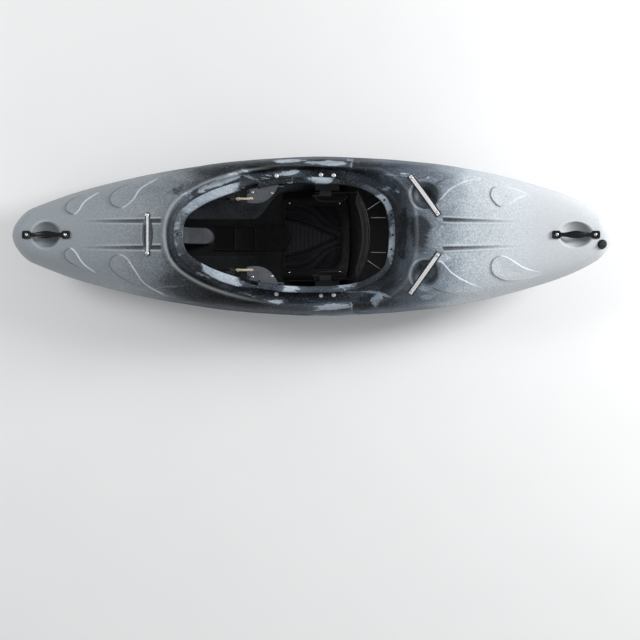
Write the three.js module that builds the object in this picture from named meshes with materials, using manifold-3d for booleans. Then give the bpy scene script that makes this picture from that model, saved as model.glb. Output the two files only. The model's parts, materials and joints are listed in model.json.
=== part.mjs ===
// Whitewater kayak: a moulded hull shell with its seat, braces, footrest, backband and fittings.
// Millimetres. +X runs to the stern, +Y to starboard, +Z up. The origin lies on the flat of the
// bottom, under the middle of the hull. Left and right are the paddler's, who faces the bow.
import * as THREE from "three";
import { mergeVertices } from "three/addons/utils/BufferGeometryUtils.js";
import Module from "manifold-3d";

const wasm = await Module();
wasm.setup();

// Clearances that all pieces share
const fitGap = 0.3;
const overrun = 40;
const meldStep = 0.001;

// Hull shell
const hullLength = 2550;
const hullBeam = 685;
const hullHeight = 417;
const hullWall = 6;
const bowRound = 78;
const sternRound = 60;
const bowTipHeight = 298;
const sternTipHeight = 304;
const endWallShare = 3;
const bottomPowerShare = 2.6;
const bilgeTuckShare = 0.1;
const deckPowerEndShare = 2.3;
const deckPowerMiddleShare = 3.3;
const shoulderTuckShare = 0.16;
const ringSteps = 6;
const hullStations = 22;
const endStationShares = [0, 0.1, 0.35, 0.75];

// Lines of the hull: place along the length from the middle, half breadth as a share of half
// the beam, then the keel, the gunwale seam and the deck as shares of the height
const hullLineShares = [
  [-0.5, 0.23, 0.51, 0.69, 0.81],
  [-0.457, 0.375, 0.41, 0.6, 0.815],
  [-0.407, 0.519, 0.276, 0.52, 0.822],
  [-0.356, 0.631, 0.163, 0.492, 0.847],
  [-0.306, 0.722, 0.096, 0.468, 0.897],
  [-0.256, 0.8, 0.05, 0.456, 0.965],
  [-0.205, 0.863, 0.025, 0.451, 0.99],
  [-0.155, 0.919, 0.008, 0.449, 1.015],
  [-0.105, 0.956, -0.019, 0.449, 0.985],
  [-0.046, 0.984, -0.019, 0.449, 0.911],
  [0.013, 1, -0.019, 0.452, 0.845],
  [0.072, 0.985, 0.01, 0.465, 0.835],
  [0.13, 0.96, 0.042, 0.482, 0.868],
  [0.172, 0.931, 0.065, 0.487, 0.925],
  [0.214, 0.897, 0.103, 0.499, 0.95],
  [0.265, 0.834, 0.163, 0.516, 0.933],
  [0.315, 0.753, 0.235, 0.544, 0.899],
  [0.365, 0.65, 0.314, 0.58, 0.859],
  [0.416, 0.528, 0.427, 0.624, 0.845],
  [0.458, 0.388, 0.532, 0.669, 0.84],
  [0.5, 0.19, 0.63, 0.72, 0.815],
];

// Cockpit coaming: a throat wall with an outward lip, a moat for the spray skirt and a collar
const cockpitFront = -545;
const cockpitLength = 871;
const cockpitRear = cockpitFront + cockpitLength;
const cockpitWidth = 436;
const lipWidth = 27;
const frontLipWidth = 38;
const lipThickness = 9;
const lipDroop = 2;
const lipEdge = 2.5;
const frontBandShare = 0.27555;
const frontBandEnd = cockpitFront + frontBandShare * cockpitLength;
const notchLength = 78;
const notchDepth = 15;
const collarReach = 78;
const rearCollarReach = 112;
const collarRamp = 18;
const rearCollarRamp = 64;
const collarCrest = 5;
const collarRise = 4;
const collarSkirt = 26;
const throatFillet = 8;
const coamingStations = 46;

// Half outline of the cockpit's inner edge, bow to stern, as shares of its length and half width
const cockpitShares = [
  [0, 0],
  [0.02, 0.33],
  [0.1, 0.575],
  [0.24, 0.8],
  [0.45, 0.97],
  [0.66, 1],
  [0.84, 0.93],
  [0.93, 0.77],
  [0.975, 0.6],
  [0.994, 0.36],
  [1, 0],
];

// Coaming heights by place along the hull: the top of the lip and the floor of the moat
const coamingShares = [
  [-0.25, 1, 0.932],
  [-0.217, 1, 0.93],
  [-0.188, 0.986, 0.918],
  [-0.141, 0.955, 0.88],
  [-0.0945, 0.911, 0.81],
  [-0.0475, 0.863, 0.742],
  [-0.012, 0.827, 0.702],
  [0.023, 0.799, 0.7],
  [0.082, 0.77, 0.7],
  [0.117, 0.768, 0.7],
  [0.14, 0.777, 0.706],
];

// Pockets moulded into the deck
const handleScoopLength = 118;
const handleScoopWidth = 112;
const handleScoopDepth = 34;
const bowHandleInset = 148;
const bowHandlePlace = bowHandleInset - hullLength / 2;
const sternHandleInset = 159;
const sternHandlePlace = hullLength / 2 - sternHandleInset;
const sternScoopLength = 140;
const bowlDiameter = 118;
const bowlDepth = 38;
const bowlGap = 150;
const bowlPlace = cockpitRear + bowlGap;
const bowlReach = 168;
const troughGap = 149;
const troughPlace = cockpitFront - troughGap;
const troughLength = 46;
const troughWidth = 150;
const troughDepth = 30;
const stepShare = 0.8163;
const stepPlace = cockpitFront + stepShare * cockpitLength;
const stepRunOut = 42;
const stepDepth = 11;
const stepInset = 8;
const pocketSegments = 14;

// Stiffening ribs on the deck
const ribWidth = 14;
const ribHeight = 5;
const bowRibInset = 290;
const bowRibStart = bowRibInset - hullLength / 2;
const bowRibGap = 190;
const bowRibEnd = cockpitFront - bowRibGap;
const bowRibSpread = 56;
const sternRibGap = 230;
const sternRibStart = cockpitRear + sternRibGap;
const sternRibInset = 409;
const sternRibEnd = hullLength / 2 - sternRibInset;
const sternRibSpread = 61;
const sternRibSpreadEnd = 52;
const ribStations = 9;

// Bolts and screws
const boltHeadRadius = 7;
const boltHeadHeight = 4.5;
const boltShankRadius = 3;
const boltSides = 8;
const collarBoltShares = [0.4512, 0.6682, 0.7302];
const collarBoltPlaces = collarBoltShares.map((share) => cockpitFront + share * cockpitLength);
const collarBoltReach = 39;
const collarBoltLength = 15;
const railBoltPlaces = [-518, -463];
const railBoltHeight = 165;
const railBoltLength = 20;

// Foam pillars that hold the deck up
const pillarWidth = 68;
const frontPillarReach = 95;
const frontPillarStart = cockpitFront - frontPillarReach;
const frontPillarSlope = 80;
const frontPillarShoulder = frontPillarStart + frontPillarSlope;
const frontPillarLength = 211;
const frontPillarEnd = frontPillarStart + frontPillarLength;
const frontPillarLowHeight = 228;
const pillarRound = 34;
const rearPillarGap = 154;
const rearPillarStart = cockpitRear + rearPillarGap;
const rearPillarInset = 275;
const rearPillarEnd = hullLength / 2 - rearPillarInset;

// Seat
const seatShare = 0.46958;
const seatFront = cockpitFront + seatShare * cockpitLength;
const seatLength = 300;
const seatWidth = 386;
const seatSheet = 5;
const seatCorner = 45;
const seatFrontWall = 52;
const seatRearWall = 185;
const seatRearLift = 34;
const seatNotch = 36;
const seatNotchHalf = 40;
const seatLobe = 30;
const tongueGap = 119;
const tongueFront = cockpitFront + tongueGap;
const tongueWidth = 107;
const tongueSheet = 4;
const tongueEdge = 13;
const tongueRibShares = [0.3, 0.61];
const tongueRib = 5;

// Seat cushion and hip pads
const cushionThickness = 11;
const cushionCrown = 9;
const cushionHalf = 140;
const cushionFrontInset = 14;
const cushionRearInset = 34;
const cushionChannel = 5;
const cushionChannelHalf = 7;
const cushionTriangleHalf = 66;
const cushionTriangleLength = 190;
const cushionRibs = 5;
const cushionSteps = 15;
const cushionEndFall = 9;
const cushionSideFall = 7;
const padRimFall = 12;
const hipPadLength = 150;
const hipPadHeight = 108;
const hipPadThickness = 26;
const hipPadCrown = 9;
const hipPadInset = 216;
const hipPadPlace = seatFront + hipPadInset;
const hipPadBottom = 80;

// Seat hangers
const hangerLength = 104;
const hangerSheet = 4;
const hangerFlangeReach = 54;
const hangerFlangeInset = 3;
const hangerKneeDrop = 26;
const hangerFoot = 84;

// Thigh braces
const braceLength = 132;
const braceWidth = 62;
const braceThickness = 8;
const braceDrop = 30;
const braceShare = 0.30884;
const braceFront = cockpitFront + braceShare * cockpitLength;
const braceWallGap = 1;
const bracketThickness = 9;
const bracketReach = 40;
const bracketPostHeight = 26;
const bracketPostLength = 9;
const bracketFlangeLength = 62;
const bracketFlangeSheet = 4;

// Cord cleats on the braces
const cleatLength = 34;
const cleatWidth = 16;
const cleatHeight = 22;
const cleatWall = 3;
const cleatShare = 0.23077;
const cleatPlace = cockpitFront + cleatShare * cockpitLength;
const cleatReach = 150;
const cleatPinRadius = 1.6;
const cleatCamRadius = 5.5;
const cleatCamHandle = 13;
const cleatCamThickness = 4.5;

// Footrest cords
const cordRadius = 2;
const cordSides = 6;
const cordSteps = 26;
const cordHeight = 359;
const cordStraight = 150;
const cordDipStart = cleatPlace - cordStraight;
const cordClearance = 24.6;
const loopLength = 66;
const loopHeight = 36;
const loopCordRadius = 4.5;
const loopSteps = 16;

// Footrest
const footGap = 225;
const footPlace = cockpitFront - footGap;
const footSheet = 6;
const footClearance = 5;
const footBottom = 66;
const footTop = 338;
const footPadThickness = 26;
const footPadInner = 46;
const footPadOuter = 182;
const footPadBottom = 100;
const footPadTop = 270;
const footPadCrown = 5;
const armClearance = 32.7;
const armSheet = 5;
const armHeight = 26;
const armLength = 340;
const armEnd = footPlace + armLength;
const armBendReach = 70;
const armBend = footPlace + armBendReach;
const railLength = 150;
const railPlace = -492;
const railWall = 3.5;
const railLip = 7;
const spacerRadius = 11;

// Backband
const bandGap = 82;
const bandPlace = cockpitRear - bandGap;
const bandRadius = 356;
const bandHalfAngle = 0.555;
const bandBottom = 218;
const bandHeight = 134;
const bandShell = 4;
const bandPadThickness = 17;
const bandPadCrown = 7;
const bandPadRoll = 12;
const bandPadShare = 0.94;
const bandSteps = 14;
const strapWidth = 25;
const strapThickness = 2.4;
const strapTooth = 1.4;
const strapPitch = 9;
const strapReach = 184;
const strapLength = 230;
const strapFront = bandPlace - strapLength;
const strapHeight = 244;
const elasticRadius = 1.5;
const elasticHeight = 318;
const elasticSpread = 73;
const elasticSpreadOuter = 105;
const elasticRimHeight = 304;
const elasticSteps = 24;

// Ratchets of the backband
const ratchetLength = 50;
const ratchetWall = 2.5;
const ratchetDepth = 24;
const ratchetGap = 188;
const ratchetPlace = bandPlace - ratchetGap;
const ratchetPinRadius = 2.5;
const leverLength = 58;
const leverThickness = 5;
const leverHubRadius = 6;
const leverSideGap = 0.6;

// Carrying handles
const handleLength = 204;
const handlePad = 34;
const handleNeckHalf = 10;
const handleGripHalf = 16.5;
const handleThickness = 8;
const handleArch = 9;
const handleScrewInset = 20;

// Rescue bars
const frontBarRadius = 5.5;
const frontBarHalf = 80;
const frontBarFootRadius = 10;
const frontBarFootHeight = 15;
const rearBarWidth = 16;
const rearBarThickness = 5;
const rearBarOuterStep = 54;
const rearBarOuterPlace = bowlPlace - rearBarOuterStep;
const rearBarOuterReach = 239;
const rearBarInnerStep = 50;
const rearBarInnerPlace = bowlPlace + rearBarInnerStep;
const rearBarInnerReach = 90;
const rearBarArch = 11;
const rearBarSteps = 12;
const rearBarFoot = 26;

// Drain
const drainInset = 47;
const drainPlace = hullLength / 2 - drainInset;
const drainReach = -40;
const drainRingRadius = 21;
const drainRingHeight = 2.5;
const drainBoreRadius = 8.5;
const drainTubeWall = 3;
const drainTubeLength = 18;
const drainHeadRadius = 16.5;
const drainHeadHeight = 5;
const drainGripHeight = 7;
const drainGripHalf = 3;
const drainSealRadius = 14;
const drainSealHeight = 2.6;
const drainStemLength = 13;
const drainSides = 20;

const mix = (a, b, t) => a + (b - a) * t;
const clamp = (v, low, high) => Math.min(high, Math.max(low, v));
const smooth = (v, from, to) => {
  const t = clamp((v - from) / (to - from), 0, 1);
  return t * t * (3 - 2 * t);
};
const sides = [
  ["left", -1],
  ["right", 1],
];

// A column of a table at a place, on a smooth curve through its rows
function along(table, place, column) {
  const last = table.length - 1;
  const at = clamp(place, table[0][0], table[last][0]);
  const i = clamp(table.findIndex((row) => row[0] >= at) - 1, 0, last - 1);
  const slope = (k) => {
    const a = table[Math.max(0, k - 1)];
    const b = table[Math.min(last, k + 1)];
    return (b[column] - a[column]) / (b[0] - a[0]);
  };
  const span = table[i + 1][0] - table[i][0];
  const t = (at - table[i][0]) / span;
  const rise = table[i + 1][column] - table[i][column];
  const bend = (1 - t) * (slope(i) * span - rise) - t * (slope(i + 1) * span - rise);
  return table[i][column] + rise * t + t * (1 - t) * bend;
}

// Solids and meshes
function solidOf(geometry) {
  const bare = geometry.clone();
  bare.deleteAttribute("normal");
  bare.deleteAttribute("uv");
  const merged = mergeVertices(bare, meldStep);
  const from = merged.index.array;
  const kept = [];
  for (let i = 0; i < from.length; i += 3) {
    const [a, b, c] = [from[i], from[i + 1], from[i + 2]];
    if (a !== b && b !== c && c !== a) kept.push(a, b, c);
  }
  const vertProperties = new Float32Array(merged.attributes.position.array);
  const make = (triVerts) =>
    new wasm.Manifold(new wasm.Mesh({ numProp: 3, vertProperties, triVerts }));
  const solid = make(new Uint32Array(kept));
  return solid.volume() > 0 ? solid : make(new Uint32Array(kept).reverse());
}

function geometryOf(solid) {
  const { vertProperties, triVerts } = solid.getMesh();
  const geometry = new THREE.BufferGeometry();
  geometry.setAttribute("position", new THREE.BufferAttribute(vertProperties, 3));
  geometry.setIndex(new THREE.BufferAttribute(triVerts, 1));
  return geometry;
}

const joined = (...geometries) => geometries.map(solidOf).reduce((a, b) => a.add(b));

// Triangles of a flat section, turned like the section itself
function capOf(section) {
  const normal = new THREE.Vector3();
  section.forEach((p, i) => {
    normal.add(new THREE.Vector3().crossVectors(p, section[(i + 1) % section.length]));
  });
  if (normal.length() < meldStep) return [];
  const up = new THREE.Vector3(0, 0, 1);
  const turn = new THREE.Quaternion().setFromUnitVectors(normal.normalize(), up);
  const flat = section.map((p) => {
    const q = p.clone().applyQuaternion(turn);
    return new THREE.Vector2(q.x, q.y);
  });
  return THREE.ShapeUtils.triangulateShape(flat, []);
}

// A body through sections with the same number of points, open with flat caps or closed
function loft(sections, closed) {
  const count = sections[0].length;
  const positions = sections.flat().flatMap((p) => [p.x, p.y, p.z]);
  const index = [];
  const spans = closed ? sections.length : sections.length - 1;
  for (let i = 0; i < spans; i++) {
    const a = i * count;
    const b = ((i + 1) % sections.length) * count;
    for (let j = 0; j < count; j++) {
      const k = (j + 1) % count;
      index.push(a + j, b + j, b + k, a + j, b + k, a + k);
    }
  }
  if (!closed) {
    const end = (sections.length - 1) * count;
    for (const [a, b, c] of capOf(sections[0])) index.push(a, b, c);
    for (const [a, b, c] of capOf(sections.at(-1))) index.push(end + c, end + b, end + a);
  }
  const geometry = new THREE.BufferGeometry();
  geometry.setAttribute("position", new THREE.Float32BufferAttribute(positions, 3));
  geometry.setIndex(index);
  return geometry;
}

// A slab between two surfaces, each a function of u and v from 0 to 1
function slab(uSteps, vSteps, topAt, bottomAt) {
  const points = [];
  for (const surface of [topAt, bottomAt]) {
    for (let i = 0; i <= uSteps; i++) {
      for (let j = 0; j <= vSteps; j++) points.push(surface(i / uSteps, j / vSteps));
    }
  }
  const row = vSteps + 1;
  const lower = row * (uSteps + 1);
  const index = [];
  const quad = (a, b, c, d) => index.push(a, b, c, a, c, d);
  for (let i = 0; i < uSteps; i++) {
    for (let j = 0; j < vSteps; j++) {
      const a = i * row + j;
      quad(a, a + row, a + row + 1, a + 1);
      quad(lower + a, lower + a + 1, lower + a + row + 1, lower + a + row);
    }
    const first = i * row;
    const final = first + vSteps;
    quad(first, lower + first, lower + first + row, first + row);
    quad(final + row, lower + final + row, lower + final, final);
  }
  for (let j = 0; j < vSteps; j++) {
    const far = uSteps * row + j;
    quad(j + 1, lower + j + 1, lower + j, j);
    quad(far, lower + far, lower + far + 1, far + 1);
  }
  const geometry = new THREE.BufferGeometry();
  geometry.setAttribute(
    "position",
    new THREE.Float32BufferAttribute(points.flatMap((p) => [p.x, p.y, p.z]), 3),
  );
  geometry.setIndex(index);
  return geometry;
}

// A sheet of even thickness on one side of a surface
function sheet(uSteps, vSteps, pointAt, thickness) {
  const probe = 0.001;
  const raised = (u, v) => {
    const du = pointAt(Math.min(1, u + probe), v).sub(pointAt(Math.max(0, u - probe), v));
    const dv = pointAt(u, Math.min(1, v + probe)).sub(pointAt(u, Math.max(0, v - probe)));
    return pointAt(u, v).addScaledVector(du.cross(dv).normalize(), thickness);
  };
  return slab(uSteps, vSteps, raised, pointAt);
}

// A tube along a curve, from the geometry that three.js extrudes
function tube(curve, radius, tubeSides, steps) {
  const section = new THREE.Shape();
  for (let i = 0; i <= tubeSides; i++) {
    const angle = (i / tubeSides) * 2 * Math.PI;
    const [x, y] = [radius * Math.cos(angle), radius * Math.sin(angle)];
    if (i === 0) section.moveTo(x, y);
    else if (i < tubeSides) section.lineTo(x, y);
    else section.closePath();
  }
  return new THREE.ExtrudeGeometry(section, { steps, extrudePath: curve, curveSegments: 1 });
}

const boxBetween = (low, high) => {
  const size = new THREE.Vector3().subVectors(high, low);
  return new THREE.BoxGeometry(size.x, size.y, size.z).translate(
    (low.x + high.x) / 2,
    (low.y + high.y) / 2,
    (low.z + high.z) / 2,
  );
};

const shapeOf = (points) => new THREE.Shape(points.map(([x, y]) => new THREE.Vector2(x, y)));

const plate = (shape, depth) =>
  new THREE.ExtrudeGeometry(shape, { depth, bevelEnabled: false, curveSegments: 6 });

// A turned body whose axis is Z, from a profile of radius and height pairs, bottom to top
const turned = (profile, segments) =>
  new THREE.LatheGeometry(
    profile.map(([r, z]) => new THREE.Vector2(r, z)),
    segments,
  ).rotateX(Math.PI / 2);

// Sections of the hull
function sectionAt(x) {
  const place = x / hullLength;
  const toEnd = Math.max(0, hullLength / 2 - Math.abs(x));
  const round = x < 0 ? bowRound : sternRound;
  const fill = toEnd >= round ? 1 : Math.sqrt(1 - (1 - toEnd / round) ** 2);
  const tip = x < 0 ? bowTipHeight : sternTipHeight;
  const heightOf = (column) => mix(tip, hullHeight * along(hullLineShares, place, column), fill);
  return {
    fill,
    tip,
    half: (hullBeam / 2) * along(hullLineShares, place, 1) * fill,
    keel: heightOf(2),
    seam: heightOf(3),
    deck: heightOf(4),
    power: mix(deckPowerEndShare, deckPowerMiddleShare, Math.cos(Math.PI * place) ** 2),
  };
}

const below = (t) =>
  (1 - t ** bottomPowerShare) ** (1 / bottomPowerShare) * (1 - bilgeTuckShare * t * (1 - t));
const above = (t, power) => (1 - t ** power) ** (1 / power) * (1 - shoulderTuckShare * t * (1 - t));

// Reach of the footrest's arms: the hull's half breadth where they bend, less a clearance
const armReach =
  (hullBeam / 2) * along(hullLineShares, armBend / hullLength, 1) - armClearance;

function halfRingAt(x, inset) {
  const section = sectionAt(x);
  const half = section.half - inset;
  const points = [];
  for (let i = 0; i <= ringSteps; i++) {
    const t = Math.cos((i / ringSteps) * (Math.PI / 2)) ** (2 / bottomPowerShare);
    const height = mix(section.seam, section.keel + inset, t);
    points.push([half * below(t), Math.max(inset, height)]);
  }
  for (let i = 1; i <= ringSteps; i++) {
    const t = Math.sin((i / ringSteps) * (Math.PI / 2)) ** (2 / section.power);
    points.push([half * above(t, section.power), mix(section.seam, section.deck - inset, t)]);
  }
  return section.fill > 0 ? points : points.map(() => [0, section.tip]);
}

function ringAt(x, inset) {
  const half = halfRingAt(x, inset);
  const drawnIn = x * (1 - (endWallShare * inset) / (hullLength / 2));
  const starboard = half.map(([y, z]) => new THREE.Vector3(drawnIn, y, z));
  const port = half.slice(1, -1).reverse();
  return [...starboard, ...port.map(([y, z]) => new THREE.Vector3(drawnIn, -y, z))];
}

function stationPlaces() {
  const end = hullLength / 2;
  const bow = endStationShares.map((share) => share * bowRound - end);
  const stern = endStationShares.map((share) => end - share * sternRound).reverse();
  const from = bowRound - end;
  const to = end - sternRound;
  const between = Array.from({ length: hullStations + 1 }, (_, i) =>
    mix(from, to, i / hullStations),
  );
  return [...bow, ...between, ...stern];
}

const hullLoft = (inset) => loft(stationPlaces().map((x) => ringAt(x, inset)), false);

// Height of the deck over a point, found by halving
function deckHeight(x, y) {
  const section = sectionAt(x);
  const reach = Math.min(1, Math.abs(y) / section.half);
  let low = 0;
  let high = 1;
  for (let i = 0; i < 30; i++) {
    const middle = (low + high) / 2;
    if (above(middle, section.power) > reach) low = middle;
    else high = middle;
  }
  return mix(section.seam, section.deck, low);
}

// Coaming
const cockpitHalfAt = (x) =>
  (cockpitWidth / 2) * along(cockpitShares, (x - cockpitFront) / cockpitLength, 1);
const lipTopAt = (x) => hullHeight * along(coamingShares, x / hullLength, 1);
const moatFloorAt = (x) => hullHeight * along(coamingShares, x / hullLength, 2);

function cockpitOutline() {
  const half = cockpitShares.map(
    ([a, b]) => new THREE.Vector3(cockpitFront + a * cockpitLength, (b * cockpitWidth) / 2, 0),
  );
  const port = half.slice(1, -1).reverse();
  const loop = [...half, ...port.map((p) => new THREE.Vector3(p.x, -p.y, 0))];
  const curve = new THREE.CatmullRomCurve3(loop, true, "centripetal");
  return Array.from({ length: coamingStations }, (_, i) => {
    const point = curve.getPointAt(i / coamingStations);
    const tangent = curve.getTangentAt(i / coamingStations);
    return {
      at: (reach, z) =>
        new THREE.Vector3(point.x - reach * tangent.y, point.y + reach * tangent.x, z),
      x: point.x,
      rearness: smooth((point.x - cockpitFront) / cockpitLength, 0.78, 1),
    };
  });
}

const collarReachAt = (station) => mix(collarReach, rearCollarReach, station.rearness);

function coamingProfile(station) {
  const lip = mix(
    frontLipWidth,
    lipWidth,
    smooth(station.x, frontBandEnd, frontBandEnd + notchLength),
  );
  const top = lipTopAt(station.x);
  const floor = moatFloorAt(station.x);
  const ridge = collarReachAt(station);
  const ramp = mix(collarRamp, rearCollarRamp, station.rearness);
  const onDeck = (reach) => {
    const p = station.at(reach, 0);
    return deckHeight(p.x, p.y);
  };
  const crest = onDeck(ridge) + collarRise;
  const outer = ridge + collarSkirt;
  const profile = [
    [0, floor - hullWall],
    [0, top - lipEdge],
    [lipEdge, top],
    [lip - lipEdge, top - lipDroop],
    [lip, top - lipDroop - lipEdge],
    [lip, top - lipDroop - lipThickness],
    [hullWall + lipEdge, top - lipThickness - lipEdge],
    [hullWall, floor + throatFillet],
    [hullWall + throatFillet, floor],
    [ridge - ramp, floor],
    [ridge - collarCrest, crest],
    [ridge + collarCrest, crest],
    [outer, onDeck(outer) - hullWall / 2],
    [ridge, crest - hullWall - collarRise],
    [ridge - ramp, floor - hullWall],
  ];
  return profile.map(([reach, z]) => station.at(reach, z));
}

const coamingRing = () => loft(cockpitOutline().map(coamingProfile), true);

// The deck's hole lies under the skirt of the collar
function deckHole() {
  const rim = cockpitOutline().map((station) => {
    const p = station.at(collarReachAt(station) + collarSkirt / 2, 0);
    return [p.x, p.y];
  });
  const from = hullHeight / 2;
  return plate(shapeOf(rim), from + overrun).translate(0, 0, from);
}

// Pockets in the deck: each is a tool that is given a wall by the same tool grown
const pocketBall = (x, y, z, length, width, depth, grow) =>
  new THREE.SphereGeometry(1, pocketSegments, pocketSegments / 2)
    .scale(length / 2 + grow, width / 2 + grow, depth + grow)
    .translate(x, y, z);

// The step behind each hip ledge: a steep face, then a floor that runs out on the deck
function stepTool(side, grow) {
  const outerAt = sectionAt(stepPlace).half - stepInset;
  const innerAt = cockpitHalfAt(stepPlace) + collarReach - collarRamp;
  const stations = [0, 0.5, 1].map((share) => {
    const y = side * mix(innerAt, outerAt, share);
    const x = stepPlace + share * stepInset;
    const deck = deckHeight(x, y);
    return [
      new THREE.Vector3(x - grow, y, deck + overrun),
      new THREE.Vector3(x - grow, y, deck - stepDepth - grow),
      new THREE.Vector3(x + stepRunOut + grow, y, deck - grow),
      new THREE.Vector3(x + stepRunOut + grow, y, deck + overrun),
    ];
  });
  return loft(side > 0 ? stations.reverse() : stations, false);
}

function pocketTools(grow) {
  const scoop = (x, length) =>
    pocketBall(x, 0, deckHeight(x, 0), length, handleScoopWidth, handleScoopDepth, grow);
  const trough = pocketBall(
    troughPlace,
    0,
    deckHeight(troughPlace, 0),
    troughLength,
    troughWidth,
    troughDepth,
    grow,
  );
  const bowls = sides.map(([, side]) => {
    const y = side * bowlReach;
    const z = deckHeight(bowlPlace, y);
    return pocketBall(bowlPlace, y, z, bowlDiameter, bowlDiameter, bowlDepth, grow);
  });
  return [
    scoop(bowHandlePlace, handleScoopLength),
    scoop(sternHandlePlace, sternScoopLength),
    trough,
    ...bowls,
  ];
}

// A rib that lies along the deck, half sunk in the wall
function deckRib(from, to, spreadFrom, spreadTo, side) {
  const stations = Array.from({ length: ribStations + 1 }, (_, i) => {
    const share = i / ribStations;
    const x = mix(from, to, share);
    const y = side * mix(spreadFrom, spreadTo, share);
    const swell = Math.sin(Math.PI * clamp(share, 0.04, 0.96)) ** 0.5;
    const deck = deckHeight(x, y);
    return [
      [-1, -hullWall / 2],
      [-0.5, ribHeight * swell],
      [0.5, ribHeight * swell],
      [1, -hullWall / 2],
    ].map(([a, z]) => new THREE.Vector3(x, y + (a * ribWidth * swell) / 2, deck + z));
  });
  return loft(stations, false);
}

// A box given by its reaches from the boat's middle on one side
const sideBox = (side, from, to) =>
  boxBetween(
    new THREE.Vector3(from.x, Math.min(side * from.y, side * to.y), from.z),
    new THREE.Vector3(to.x, Math.max(side * from.y, side * to.y), to.z),
  );

function notchTool(side) {
  const inner = cockpitHalfAt(frontBandEnd + notchLength / 2);
  return sideBox(
    side,
    new THREE.Vector3(frontBandEnd, inner - overrun, braceSeat()),
    new THREE.Vector3(frontBandEnd + notchLength, inner + notchDepth, hullHeight + overrun),
  );
}

// The wall that closes the notch towards the moat, up to the underside of the lip
function notchWall(side) {
  const inner = cockpitHalfAt(frontBandEnd + notchLength / 2);
  const low = braceSeat() - hullWall;
  const sections = [-1, 0, 1].map((end) => {
    const x = frontBandEnd + notchLength / 2 + end * (notchLength / 2 + hullWall);
    const top = lipTopAt(x) - lipThickness;
    return [
      [inner, low],
      [inner + notchDepth + hullWall, low],
      [inner + notchDepth + hullWall, top],
      [inner, top],
    ].map(([y, z]) => new THREE.Vector3(x, side * y, z));
  });
  return loft(sections, false);
}

// Height on which the brace brackets stand in the notches of the coaming
const braceSeat = () => lipTopAt(braceFront) - braceDrop - braceThickness - bracketThickness;

function hullBlank() {
  const outer = solidOf(hullLoft(0));
  let shell = outer.subtract(solidOf(hullLoft(hullWall))).subtract(solidOf(deckHole()));
  shell = shell.add(solidOf(coamingRing()));
  for (const grown of pocketTools(hullWall)) shell = shell.add(solidOf(grown).intersect(outer));
  for (const tool of pocketTools(0)) shell = shell.subtract(solidOf(tool));
  for (const [, side] of sides) {
    shell = shell.add(solidOf(stepTool(side, hullWall)).intersect(outer));
    shell = shell.subtract(solidOf(stepTool(side, 0)));
    shell = shell.add(solidOf(notchWall(side))).subtract(solidOf(notchTool(side)));
    shell = shell
      .add(solidOf(deckRib(bowRibStart, bowRibEnd, bowRibSpread, bowRibSpread, side)))
      .add(solidOf(deckRib(sternRibStart, sternRibEnd, sternRibSpread, sternRibSpreadEnd, side)));
  }
  return shell;
}


const blank = hullBlank();
const blankGeometry = geometryOf(blank);
const blankMesh = new THREE.Mesh(
  blankGeometry,
  new THREE.MeshBasicMaterial({ side: THREE.DoubleSide }),
);
const roomInside = solidOf(hullLoft(hullWall + fitGap));
const loweredBlank = solidOf(blankGeometry.clone().translate(0, 0, -fitGap));

// Where a ray meets the hull, as a frame whose Z axis stands on the surface
function landing(from, direction) {
  const hit = new THREE.Raycaster(from, direction).intersectObject(blankMesh)[0];
  const up = hit.face.normal.clone();
  if (up.dot(direction) > 0) up.negate();
  const forward = new THREE.Vector3(1, 0, 0).addScaledVector(up, -up.x).normalize();
  return new THREE.Matrix4()
    .makeBasis(forward, new THREE.Vector3().crossVectors(up, forward), up)
    .setPosition(hit.point);
}

const onDeck = (x, y) =>
  landing(new THREE.Vector3(x, y, hullHeight + overrun), new THREE.Vector3(0, 0, -1));
const fromSide = (x, side, z) =>
  landing(new THREE.Vector3(x, side * hullBeam, z), new THREE.Vector3(0, -side, 0));
const placeOf = (frame) => new THREE.Vector3().setFromMatrixPosition(frame);

// A hole along a frame's axis, with a flat seat for the head that stands on it
const seatCut = (frame, bore, depth, seatRadius, segments = boltSides) =>
  solidOf(
    turned(
      [
        [0, -depth],
        [bore, -depth],
        [bore, 0],
        [seatRadius, 0],
        [seatRadius, overrun],
        [0, overrun],
      ],
      segments,
    ).applyMatrix4(frame),
  );

const largest = (solid) => solid.decompose().sort((a, b) => b.volume() - a.volume())[0];

// Profiles laid across the hull, given as X and Z, or along it, given as Y and Z
const acrossPlate = (points, width) =>
  plate(shapeOf(points), width)
    .translate(0, 0, -width / 2)
    .applyMatrix4(
      new THREE.Matrix4().makeBasis(
        new THREE.Vector3(1, 0, 0),
        new THREE.Vector3(0, 0, 1),
        new THREE.Vector3(0, -1, 0),
      ),
    );
const alongPlate = (points, from, to) =>
  plate(shapeOf(points), to - from)
    .translate(0, 0, from)
    .applyMatrix4(
      new THREE.Matrix4().makeBasis(
        new THREE.Vector3(0, 1, 0),
        new THREE.Vector3(0, 0, 1),
        new THREE.Vector3(1, 0, 0),
      ),
    );
const mirrored = (points, side) => points.map(([y, z]) => [side * y, z]);

// Materials
const finish = (color, roughness, metalness = 0) =>
  new THREE.MeshStandardMaterial({ color, roughness, metalness });
const hullPlastic = finish(0x7c858d, 0.5);
const blackPlastic = finish(0x141517, 0.45);
const seatPlastic = finish(0x222226, 0.5);
const greyPlastic = finish(0x4a4d51, 0.5);
const foam = finish(0x44454a, 0.9);
const fabric = finish(0x232227, 0.95);
const cordFibre = finish(0xd9d4c8, 0.8);
const blackCord = finish(0x1a1a1c, 0.8);
const rubber = finish(0x161616, 0.85);
const aluminium = finish(0xc4c7ca, 0.3, 1);
const steel = finish(0xb9bcc0, 0.25, 1);

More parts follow.
